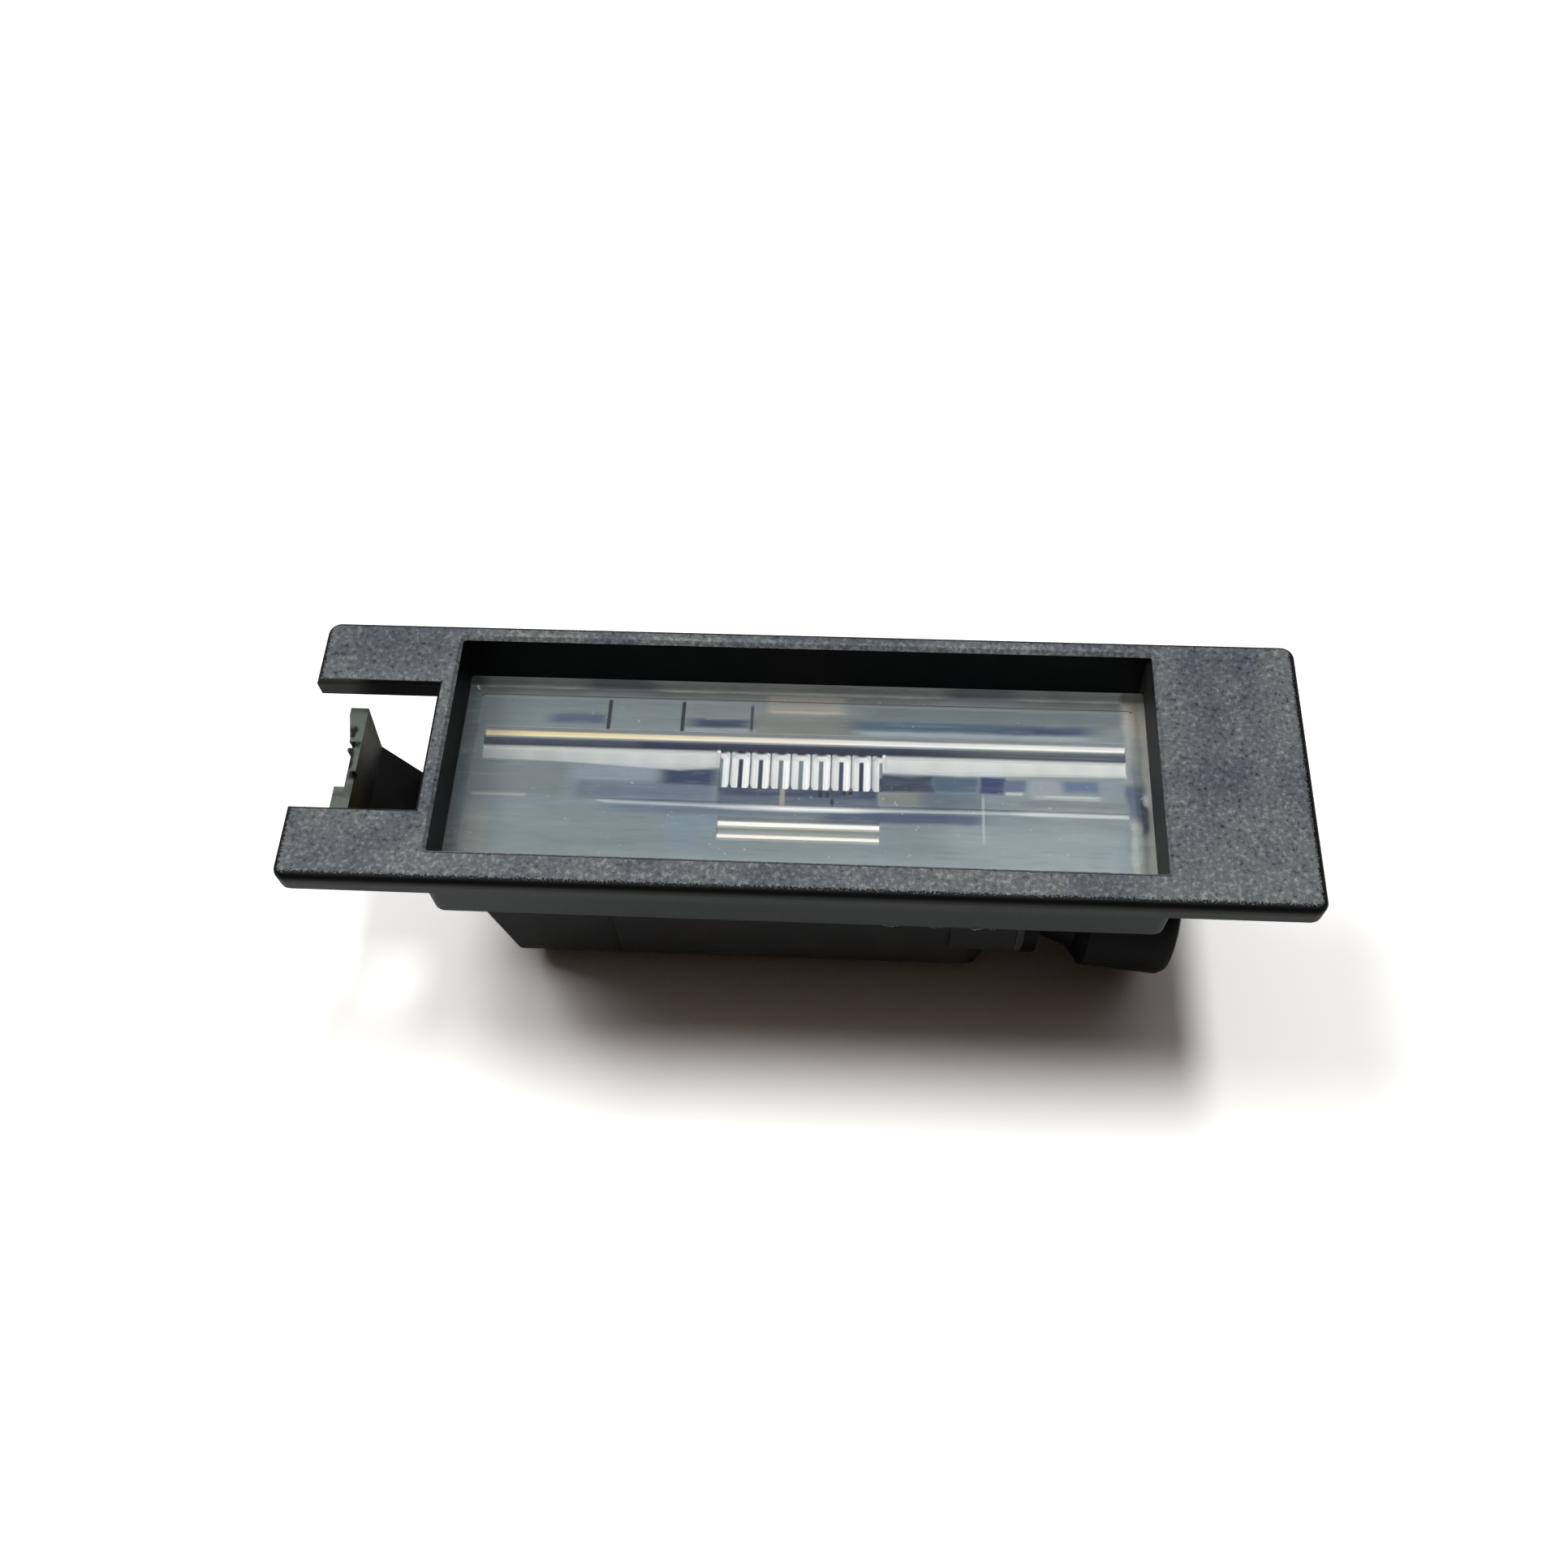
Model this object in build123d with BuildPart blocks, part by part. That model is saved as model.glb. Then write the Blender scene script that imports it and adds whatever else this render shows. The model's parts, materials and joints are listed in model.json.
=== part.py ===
from build123d import *
from math import cos, radians, sin
import os

os.makedirs("parts", exist_ok=True)

# Sizes in mm. The lamp lies on its back, lens up, with the bulb holder at +X and the latch at -X.
# Bezel, window and latch notch
bezel_l = 74.0
bezel_w = 22.0
bezel_t = 1.8
bezel_corner_r = 1.0
bezel_edge_r = 0.5
end_bar = 10.7          # bezel end to window, at both ends
near_rail = 2.6
far_rail = 1.25
window_lean = 0.85      # the far window wall leans in by this much at the lens
window_corner_r = 0.2
window_edge = 0.25
recess_depth = 4.0      # bezel front to lens front
notch_bar = 1.3         # bar between the window and the notch
notch_y0 = -5.1
notch_y1 = 5.5

# Collar behind the bezel and its fixed hook
collar_wall = 0.75
collar_corner_r = 1.0
collar_edge = 0.2
ledge = 0.4             # lens shoulder inside the collar
hook_gap = 2.1          # room for the vehicle panel between bezel and hook
hook_reach = 4.1
hook_w = 8.0
hook_tip_t = 0.9
hook_root_t = 3.2
hook_sink = 0.4         # hook root inside the collar wall

# Lens and the optics on its inner face
lens_t = 2.0
lens_clear = 0.1
lens_rim = 1.3
lens_web = 1.6          # thickness inside the rim
rib_end_gap = 0.5
long_rib_y = 4.3
long_rib_r = 0.55
band_y = 2.65
band_w = 1.5
band_top_w = 0.9
band_h = 0.5
band_gap = 0.3          # between a band and the outermost flute
flute_count = 9         # the outermost two are halved
flute_pitch = 1.55
flute_w = 1.44
flute_y = 1.72
flute_l = 3.15
thin_rib_y = -1.4
thin_rib_x0 = -14.9
thin_rib_r = 0.25
low_rib_half_l = 6.1
low_rib_y = -3.33       # middle of the pair
low_rib_pitch = 0.95
low_rib_r = 0.42

# Bulb
bulb_r = 4.7
bulb_wall = 0.6
bulb_tip_x = -10.0
bulb_neck_x = 7.4
bulb_pinch = 2.4        # length of the cone behind the neck
pinch_wall = 2.3        # glass thickness at the point of that cone
wedge_x0 = 7.7
wedge_x1 = 16.8
wedge_half_w = 4.2
wedge_t = 2.6
wedge_corner_r = 0.6
wire_r = 0.2
wire_y = 2.3
wire_fold_x = 12.6
filament_x = -0.5
filament_r = 0.2

# Reflector
bulb_gap = 0.4          # bulb to reflector
reflector_t = 0.4
reflector_clear = 0.15
tray_depth = 1.3        # housing floor to the underside of the lens

# Rear housing
housing_clear = 0.1
housing_rim_t = 1.2
floor_t = 1.0
chamber_wall = 0.85
chamber_inset = 0.2     # latch end of the chamber inside the pocket
chamber_taper = 3.3     # the latch end slopes in by this much down to the resting face
chamber_x1 = 16.0
chamber_corner_r = 3.8  # in plan, at the port end
chamber_edge_r = 3.6
chamber_toe_r = 1.2     # below the latch end
rest_rib_h = 0.3        # two bars under the chamber that it stands on
rest_rib_w = 1.4
rest_rib_half_l = 4.2
rest_rib_inset = 2.4    # bar to the end of the flat bottom
crease_x = -15.0
crease_w = 0.9
crease_depth = 0.35

# Port and bayonet
port_x0 = 11.8
port_x1 = 17.4
port_wall = 0.5
port_clear = 0.2        # radial play of the holder in the port
lug_count = 3
lug_x = 15.2
lug_t = 1.4
lug_h = 0.9
lug_deg = 20.0
lug_clear = 0.2
entry_deg = 26.0
twist_deg = 40.0
first_lug_deg = 50.0

# Latch arm, worn at its tip
latch_inset = 2.0       # bezel end to latch tip
latch_t = 1.4
latch_y0 = -4.0
latch_y1 = 5.0
latch_drop = 1.2        # latch tip below the bezel seat: the panel lies between them
latch_elbow_drop = 5.9  # tip to elbow
latch_lean = 0.55       # the elbow stands out beyond the tip
latch_slant = 3.3       # tip to foot along X
latch_foot_drop = 10.2  # tip to top of the foot
latch_foot_t = 1.4
latch_bend_r = 0.5
wear_y0 = -1.95
wear_y1 = 4.4
wear_depth = 0.85
wear_h = 2.6
nick_w = 0.55
nick_depth = 0.5
nick_h = 0.8
nick_y = 1.7
back_nick_y = -0.9

# Bulb holder, seal and contacts
barrel_wall = 0.6       # barrel outside the bulb's radius
barrel_lead = 0.2       # barrel end in front of the port
barrel_edge = 0.5
reflector_gap = 0.3     # barrel end to reflector
slot_clear = 0.1
slot_depth = 1.0        # slot behind the end of the wedge
seal_gap = 0.05
seal_t = 0.6
seal_clear = 0.05
seal_lip = 0.1          # seal inside the stop flange's edge
stop_t = 1.1
stop_lip = 0.1          # stop flange beyond the port's radius
knob_x0 = 22.1
knob_x1 = 29.8
knob_r = 8.4
knob_step = 0.8
knob_step_in = 0.55
knob_front_in = 1.75
knob_neck_in = 1.9
knob_edge = 0.8
knob_edge_mid = 0.25
knob_rise = 0.1         # knob above the chamber's flat bottom
knob_clear = 0.3        # knob below the collar
socket_half_w = 5.2
socket_half_h = 3.6
socket_corner_r = 1.8
socket_floor_x = 21.7
key_w = 1.2
key_h = 0.8
contact_t = 0.5
contact_w = 2.4
contact_x0 = 12.2
contact_bend_x = 18.2
contact_offset = 0.2    # shift of the outer bend that keeps the strip's thickness
blade_x0 = 20.6
blade_x1 = 25.4
blade_tip = 0.5

# Levels, from the resting face up
bottom_z = rest_rib_h
axis_z = bottom_z + knob_rise + knob_r
collar_z = axis_z + knob_r + knob_clear
floor_z1 = collar_z + floor_t
lens_z0 = floor_z1 + tray_depth
rim_z = lens_z0 - reflector_t
lens_z1 = lens_z0 + lens_t
web_z = lens_z1 - lens_web
front_z = lens_z1 + recess_depth
seat_z = front_z - bezel_t
hook_z = seat_z - hook_gap
latch_z = seat_z - latch_drop

# Outlines that follow from the sizes
hair = 0.1              # least rounding, and slack when edges are picked by place
window_half_l = bezel_l / 2 - end_bar
window_y0 = near_rail - bezel_w / 2
window_y1 = bezel_w / 2 - far_rail
lens_y1 = window_y1 - window_lean
notch_x = -window_half_l - notch_bar
pocket_half_l = window_half_l + ledge
pocket_w = lens_y1 - window_y0 + 2 * ledge
pocket_y = (window_y0 + lens_y1) / 2
pocket_r = max(collar_corner_r - collar_wall, hair) + ledge
flutes_half_l = (flute_count - 1) * flute_pitch / 2
rib_half_l = pocket_half_l - lens_clear - lens_rim - rib_end_gap
barrel_r = bulb_r + barrel_wall
barrel_x0 = port_x0 - barrel_lead
slot_r = barrel_r + lug_h + lug_clear
port_r = slot_r + port_wall
stop_r = port_r + stop_lip
stop_x0 = port_x1 + seal_gap + seal_t
stop_x1 = stop_x0 + stop_t
reflector_r = bulb_r + bulb_gap
trough_r = reflector_r + reflector_t
void_half_w = trough_r + reflector_clear
chamber_half_w = void_half_w + chamber_wall
chamber_top = collar_z + floor_t / 2
chamber_x0 = chamber_inset - pocket_half_l
reflector_x0 = chamber_x0 + chamber_taper + 2 * chamber_wall
reflector_x1 = barrel_x0 - reflector_gap
bulb_axis = Axis((0, 0, axis_z), (1, 0, 0))
axial = Plane(origin=(0, 0, axis_z), x_dir=(1, 0, 0), z_dir=(0, -1, 0))
cross = Plane(origin=(0, 0, axis_z), x_dir=(0, 1, 0), z_dir=(1, 0, 0))


def turned_plane(deg):
    a = radians(deg)
    return Plane(origin=(0, 0, axis_z), x_dir=(1, 0, 0), z_dir=(0, -sin(a), cos(a)))


def pocket_sketch(inset, corner_r):
    with BuildSketch() as outline:
        with Locations((0, pocket_y)):
            RectangleRounded(2 * (pocket_half_l - inset), pocket_w - 2 * inset, corner_r)
    return outline.sketch


# Window opening with its leaning far wall
above = 2.0             # cutting tools stand this far out of the part
with BuildPart() as window_void:
    with BuildSketch(Plane.YZ):
        with BuildLine():
            Polyline(
                (window_y0, lens_z1),
                (lens_y1, lens_z1),
                (window_y1, front_z),
                (window_y1, front_z + above),
                (window_y0, front_z + above),
                close=True,
            )
        make_face()
    extrude(amount=window_half_l, both=True)
    rising = window_void.edges().filter_by(lambda e: abs(e.tangent_at(0.5).Z) > 0.5)
    fillet(rising, window_corner_r)

# Front frame: bezel, collar, lens shoulder and fixed hook
with BuildPart() as front_frame:
    with BuildSketch(Plane.XY.offset(seat_z)):
        RectangleRounded(bezel_l, bezel_w, bezel_corner_r)
        with Locations(((notch_x - bezel_l / 2) / 2, (notch_y0 + notch_y1) / 2)):
            Rectangle(bezel_l / 2 + notch_x, notch_y1 - notch_y0, mode=Mode.SUBTRACT)
    extrude(amount=bezel_t)
    fillet(front_frame.faces().sort_by(Axis.Z)[-1].edges(), bezel_edge_r)
    with BuildSketch(Plane.XY.offset(collar_z)):
        with Locations((0, pocket_y)):
            RectangleRounded(
                2 * (pocket_half_l + collar_wall), pocket_w + 2 * collar_wall, collar_corner_r
            )
    extrude(amount=seat_z - collar_z)
    chamfer(front_frame.faces().sort_by(Axis.Z)[0].edges(), collar_edge)
    add(window_void.part, mode=Mode.SUBTRACT)
    chamfer(front_frame.faces().sort_by(Axis.Z)[-1].inner_wires()[0].edges(), window_edge)
    with BuildSketch(Plane.XY.offset(collar_z)):
        add(pocket_sketch(0, pocket_r))
    extrude(amount=lens_z1 - collar_z, mode=Mode.SUBTRACT)
    hook_x0 = pocket_half_l + collar_wall - hook_sink
    hook_x1 = pocket_half_l + collar_wall + hook_reach
    with BuildSketch(Plane.XZ):
        with BuildLine():
            Polyline(
                (hook_x0, hook_z),
                (hook_x1, hook_z),
                (hook_x1, hook_z - hook_tip_t),
                (hook_x0, hook_z - hook_root_t),
                close=True,
            )
        make_face()
    extrude(amount=hook_w / 2, both=True)
front_frame.part.label = "front_frame"
export_step(front_frame.part, "parts/front_frame.step")

# Half-round flutes of the lens, each with a rounded plan
with BuildPart() as flutes:
    with BuildSketch(Plane.XZ.offset(-flute_y)):
        with GridLocations(flute_pitch, 0, flute_count, 1):
            with Locations((0, web_z)):
                Circle(flute_w / 2)
    extrude(amount=flute_l / 2, both=True)
    with BuildSketch(Plane.XY.offset(web_z)):
        with Locations((0, flute_y)):
            with GridLocations(flute_pitch, 0, flute_count, 1):
                SlotOverall(flute_l, flute_w, rotation=90)
    extrude(amount=flute_w / 2, both=True, mode=Mode.INTERSECT)
    with BuildSketch(Plane.XY.offset(web_z)):
        with Locations((0, flute_y)):
            Rectangle(2 * flutes_half_l, flute_l)
    extrude(amount=flute_w / 2, both=True, mode=Mode.INTERSECT)

# Lens: clear plate with a raised rim and its optics on the inner face
with BuildPart() as lens:
    with BuildSketch(Plane.XY.offset(lens_z0)):
        add(pocket_sketch(lens_clear, pocket_r - lens_clear))
    extrude(amount=lens_t)
    with BuildSketch(Plane.XY.offset(lens_z0)):
        add(pocket_sketch(lens_clear + lens_rim, pocket_r))
    extrude(amount=lens_t - lens_web, mode=Mode.SUBTRACT)
    # long half-round rib near the far edge
    with BuildSketch(Plane.YZ):
        with Locations((long_rib_y, web_z)):
            Circle(long_rib_r)
    extrude(amount=rib_half_l, both=True)
    # flat-topped band on each side of the flutes
    band_x0 = flutes_half_l + band_gap
    for side in (-1, 1):
        with BuildSketch(Plane.YZ.offset(side * (rib_half_l + band_x0) / 2)):
            with BuildLine():
                Polyline(
                    (band_y - band_w / 2, lens_z1),
                    (band_y - band_w / 2, web_z),
                    (band_y - band_top_w / 2, web_z - band_h),
                    (band_y + band_top_w / 2, web_z - band_h),
                    (band_y + band_w / 2, web_z),
                    (band_y + band_w / 2, lens_z1),
                    close=True,
                )
            make_face()
        extrude(amount=(rib_half_l - band_x0) / 2, both=True)
    add(flutes.part)
    # thin rib and the short pair below the flutes
    with BuildSketch(Plane.YZ.offset(thin_rib_x0)):
        with Locations((thin_rib_y, web_z)):
            Circle(thin_rib_r)
    extrude(amount=rib_half_l - thin_rib_x0)
    with BuildSketch(Plane.YZ):
        with Locations((low_rib_y, web_z)):
            with GridLocations(low_rib_pitch, 0, 2, 1):
                Circle(low_rib_r)
    extrude(amount=low_rib_half_l, both=True)
lens.part.label = "lens"
export_step(lens.part, "parts/lens.step")

# Inside of the rear chamber
void_corner_r = chamber_corner_r - chamber_wall
void_edge = chamber_edge_r - 2 * chamber_wall
with BuildPart() as chamber_void:
    with BuildSketch(Plane.XZ):
        with BuildLine():
            Polyline(
                (chamber_x0 + chamber_wall, floor_z1),
                (chamber_x0 + chamber_wall + chamber_taper, bottom_z + chamber_wall),
                (chamber_x1 - chamber_wall, bottom_z + chamber_wall),
                (chamber_x1 - chamber_wall, floor_z1),
                close=True,
            )
        make_face()
    extrude(amount=void_half_w, both=True)
    fillet(chamber_void.edges().filter_by(lambda e: abs(e.tangent_at(0.5).Z) > 0.5), void_corner_r)
    chamfer(chamber_void.faces().sort_by(Axis.Z)[0].edges(), void_edge)

# Latch arm: foot out of the chamber end, slanting spring, upright leg and worn tip
latch_x0 = latch_inset - bezel_l / 2
latch_x1 = latch_x0 + latch_t
latch_foot_z = latch_z - latch_foot_drop
latch_root_x = chamber_x0 + chamber_taper * (1 - latch_foot_z / chamber_top) + chamber_wall / 2
with BuildPart() as latch:
    with BuildSketch(Plane.XZ.offset(-(latch_y0 + latch_y1) / 2)):
        with BuildLine():
            Polyline(
                (latch_x0, latch_z),
                (latch_x1, latch_z),
                (latch_x1 - latch_lean, latch_z - latch_elbow_drop),
                (latch_x0 + latch_slant, latch_foot_z),
                (latch_root_x, latch_foot_z),
                (latch_root_x, latch_foot_z - latch_foot_t),
                (latch_x0 + latch_slant - latch_t / 2, latch_foot_z - latch_foot_t),
                (latch_x0 - latch_lean, latch_z - latch_elbow_drop),
                close=True,
            )
        make_face()
    extrude(amount=(latch_y1 - latch_y0) / 2, both=True)
    bends = latch.edges().filter_by(Axis.Y).filter_by_position(
        Axis.Z, latch_foot_z - latch_foot_t - hair, latch_z - hair
    )
    bends = bends.filter_by_position(Axis.X, latch_x0 - latch_lean - hair, latch_root_x - hair)
    fillet(bends, latch_bend_r)
    with BuildSketch(Plane.XY.offset(latch_z)):
        with BuildLine():
            Polyline(
                (latch_x0 - latch_lean, wear_y1),
                (latch_x0, wear_y1),
                (latch_x0 + wear_depth / 2, nick_y + nick_w),
                (latch_x0 + wear_depth / 2, nick_y - nick_w),
                (latch_x0 + wear_depth, nick_y - 2 * nick_w),
                (latch_x0 + wear_depth, wear_y0),
                (latch_x0 - latch_lean, wear_y0),
                close=True,
            )
        make_face()
    extrude(amount=-wear_h, mode=Mode.SUBTRACT)
    # two nicks left by a tool, one from each side of the tip
    with BuildSketch(Plane.XY.offset(latch_z)):
        with Locations((latch_x0 + (wear_depth + nick_depth) / 2, nick_y)):
            Rectangle(nick_depth, nick_w)
        with Locations((latch_x1, back_nick_y)):
            Rectangle(nick_depth, nick_w)
    extrude(amount=-nick_h, mode=Mode.SUBTRACT)

# Rear housing: rim and floor under the lens, chamber, bulb port and latch arm
with BuildPart() as rear_housing:
    # chamber: its side outline, trimmed to its end outline and to its plan
    with BuildSketch(Plane.XZ) as chamber_side:
        with BuildLine():
            Polyline(
                (chamber_x0, chamber_top),
                (chamber_x0 + chamber_taper, bottom_z),
                (chamber_x1, bottom_z),
                (chamber_x1, chamber_top),
                close=True,
            )
        make_face()
        fillet(chamber_side.vertices().group_by(Axis.Y)[0].sort_by(Axis.X)[0], chamber_toe_r)
        fillet(chamber_side.vertices().group_by(Axis.Y)[0].sort_by(Axis.X)[-1], chamber_edge_r)
    extrude(amount=chamber_half_w, both=True)
    with BuildSketch(Plane.YZ.offset(chamber_x1)) as chamber_end:
        with Locations((0, (bottom_z + chamber_top) / 2)):
            Rectangle(2 * chamber_half_w, chamber_top - bottom_z)
        fillet(chamber_end.vertices().group_by(Axis.Y)[0], chamber_edge_r)
    extrude(amount=chamber_x0 - chamber_x1, mode=Mode.INTERSECT)
    with BuildSketch(Plane.XY.offset(bottom_z)) as chamber_plan:
        with Locations(((chamber_x0 + chamber_x1) / 2, 0)):
            Rectangle(chamber_x1 - chamber_x0, 2 * chamber_half_w)
        fillet(chamber_plan.vertices().group_by(Axis.X)[-1], chamber_corner_r)
    extrude(amount=chamber_top - bottom_z, mode=Mode.INTERSECT)
    # two bars across the bottom that the lamp stands on
    rest_x0 = chamber_x0 + chamber_taper + chamber_edge_r + rest_rib_inset
    rest_x1 = chamber_x1 - chamber_edge_r - rest_rib_inset
    with BuildSketch(Plane.XY):
        with Locations((rest_x0, 0), (rest_x1, 0)):
            Rectangle(rest_rib_w, 2 * rest_rib_half_l)
    extrude(amount=bottom_z + chamber_wall / 2)
    # port tube on the chamber's end wall
    with BuildSketch(cross.offset(chamber_x1 - chamber_corner_r)):
        Circle(port_r)
    extrude(amount=port_x1 - chamber_x1 + chamber_corner_r)
    # crease on both chamber sides
    for side in (-1, 1):
        with BuildSketch(Plane.XY):
            with BuildLine():
                Polyline(
                    (crease_x - crease_w, side * chamber_half_w),
                    (crease_x, side * (chamber_half_w - crease_depth)),
                    (crease_x, side * (chamber_half_w + crease_depth)),
                    (crease_x - crease_w, side * (chamber_half_w + crease_depth)),
                    close=True,
                )
            make_face()
        extrude(amount=collar_z, mode=Mode.SUBTRACT)
    # floor and rim that close the collar under the lens
    with BuildSketch(Plane.XY.offset(collar_z)):
        add(pocket_sketch(housing_clear, pocket_r - housing_clear))
    extrude(amount=rim_z - collar_z)
    with BuildSketch(Plane.XY.offset(floor_z1)):
        add(pocket_sketch(housing_clear + housing_rim_t, pocket_r))
    extrude(amount=rim_z - floor_z1, mode=Mode.SUBTRACT)
    add(chamber_void.part, mode=Mode.SUBTRACT)
    # port tube carried on inside the chamber, then its bore
    with BuildSketch(cross.offset(port_x0)):
        Circle(void_half_w + chamber_wall / 2)
    extrude(amount=chamber_x1 - port_x0)
    with BuildSketch(cross.offset(port_x0 - above)):
        Circle(barrel_r + port_clear)
    extrude(amount=port_x1 - port_x0 + 2 * above, mode=Mode.SUBTRACT)
    # bayonet slots: an entry from the open end and a turn behind it
    slot_h = lug_h + lug_clear
    for i in range(lug_count):
        start = first_lug_deg + i * 360 / lug_count - entry_deg / 2
        with BuildSketch(turned_plane(start)):
            with Locations((lug_x, slot_r - slot_h)):
                Rectangle(lug_t + 2 * lug_clear, 2 * slot_h)
        revolve(axis=bulb_axis, revolution_arc=twist_deg + entry_deg, mode=Mode.SUBTRACT)
        with BuildSketch(turned_plane(start + twist_deg)):
            with Locations(((lug_x + port_x1 + above) / 2, slot_r - slot_h)):
                Rectangle(port_x1 + above - lug_x, 2 * slot_h)
        revolve(axis=bulb_axis, revolution_arc=entry_deg, mode=Mode.SUBTRACT)
    add(latch.part)
rear_housing.part.label = "rear_housing"
export_step(rear_housing.part, "parts/rear_housing.step")

# Reflector: bright tray under the lens, its flange on the housing rim and its trough round the bulb
tray_inset = housing_clear + housing_rim_t + reflector_clear
trough_h = floor_z1 + reflector_t - axis_z
with BuildPart() as reflector:
    with BuildSketch(Plane.XY.offset(rim_z)):
        add(pocket_sketch(housing_clear, pocket_r - housing_clear))
    extrude(amount=reflector_t)
    with BuildSketch(Plane.XY.offset(floor_z1)):
        add(pocket_sketch(tray_inset, pocket_r))
    extrude(amount=rim_z - floor_z1)
    with BuildSketch(cross.offset(reflector_x0)):
        Circle(trough_r)
        with Locations((0, trough_h / 2)):
            Rectangle(2 * trough_r, trough_h)
    extrude(amount=reflector_x1 - reflector_x0)
    with BuildSketch(Plane.XY.offset(floor_z1 + reflector_t)):
        add(pocket_sketch(tray_inset + reflector_t, pocket_r))
    extrude(amount=tray_depth, mode=Mode.SUBTRACT)
    with BuildSketch(cross.offset(reflector_x0 + reflector_t)):
        Circle(reflector_r)
        with Locations((0, trough_h / 2)):
            Rectangle(2 * reflector_r, trough_h + reflector_t)
    extrude(amount=reflector_x1 - reflector_x0, mode=Mode.SUBTRACT)
reflector.part.label = "reflector"
export_step(reflector.part, "parts/reflector.step")

# Lead wires of the bulb: straight through the wedge and folded back over its upper face
wire_turn_x = wedge_x1 + wire_r
wire_top = wedge_t / 2 + wire_r
with BuildPart() as bulb_lead_wires:
    for y in (-wire_y, wire_y):
        with BuildLine(Plane(origin=(0, y, axis_z), x_dir=(1, 0, 0), z_dir=(0, -1, 0))) as lead:
            Polyline(
                (filament_x, 0),
                (wire_turn_x, 0),
                (wire_turn_x, wire_top),
                (wire_fold_x, wire_top),
            )
        with BuildSketch(cross.offset(filament_x)):
            with Locations((y, 0)):
                Circle(wire_r)
        sweep(path=lead.line, transition=Transition.RIGHT)
bulb_lead_wires.part.label = "bulb_lead_wires"
export_step(bulb_lead_wires.part, "parts/bulb_lead_wires.step")

# Filament across the ends of the leads
with BuildPart() as bulb_filament:
    with BuildSketch(Plane(origin=(filament_x + wire_r, wire_r - wire_y, axis_z), z_dir=(0, 1, 0))):
        Circle(filament_r)
    extrude(amount=2 * (wire_y - wire_r))
bulb_filament.part.label = "bulb_filament"
export_step(bulb_filament.part, "parts/bulb_filament.step")

# Glass of the bulb: domed shell drawn in to a cone, then pinched into a wedge
inner_r = bulb_r - bulb_wall
pinch_x = bulb_neck_x + bulb_pinch
with BuildPart() as bulb_glass:
    with BuildSketch(axial):
        with BuildLine():
            CenterArc((bulb_tip_x + bulb_r, 0), bulb_r, 90, 90)
            CenterArc((bulb_tip_x + bulb_r, 0), inner_r, 90, 90)
            Line((bulb_tip_x, 0), (bulb_tip_x + bulb_wall, 0))
            Polyline((bulb_tip_x + bulb_r, bulb_r), (bulb_neck_x, bulb_r), (pinch_x, 0))
            Line((pinch_x, 0), (pinch_x - pinch_wall, 0))
            Polyline(
                (pinch_x - pinch_wall, 0),
                (bulb_neck_x - bulb_wall, inner_r),
                (bulb_tip_x + bulb_r, inner_r),
            )
        make_face()
    revolve(axis=bulb_axis)
    with BuildSketch(cross.offset(wedge_x0)):
        RectangleRounded(2 * wedge_half_w, wedge_t, wedge_corner_r)
    extrude(amount=wedge_x1 - wedge_x0)
    add(bulb_lead_wires.part, mode=Mode.SUBTRACT)
bulb_glass.part.label = "bulb_glass"
export_step(bulb_glass.part, "parts/bulb_glass.step")

# Contacts: spring strip on a folded lead, cranked down to a connector blade
contact_z = wire_top + wire_r + contact_t / 2
contacts = []
for y in (-wire_y, wire_y):
    with BuildPart() as contact:
        with BuildSketch(Plane(origin=(0, y, axis_z), x_dir=(1, 0, 0), z_dir=(0, -1, 0))):
            half_t = contact_t / 2
            with BuildLine():
                Polyline(
                    (contact_x0, contact_z - half_t),
                    (contact_bend_x, contact_z - half_t),
                    (blade_x0, -half_t),
                    (blade_x1, -half_t),
                    (blade_x1, half_t),
                    (blade_x0 + contact_offset, half_t),
                    (contact_bend_x + contact_offset, contact_z + half_t),
                    (contact_x0, contact_z + half_t),
                    close=True,
                )
            make_face()
        extrude(amount=contact_w / 2, both=True)
        tips = contact.faces().sort_by(Axis.X)[-1].edges().filter_by(Axis.Z)
        chamfer(tips, blade_tip)
    contacts.append(contact.part)
contact_front, contact_rear = contacts
contact_front.label = "contact_front"
export_step(contact_front, "parts/contact_front.step")
contact_rear.label = "contact_rear"
export_step(contact_rear, "parts/contact_rear.step")

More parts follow.
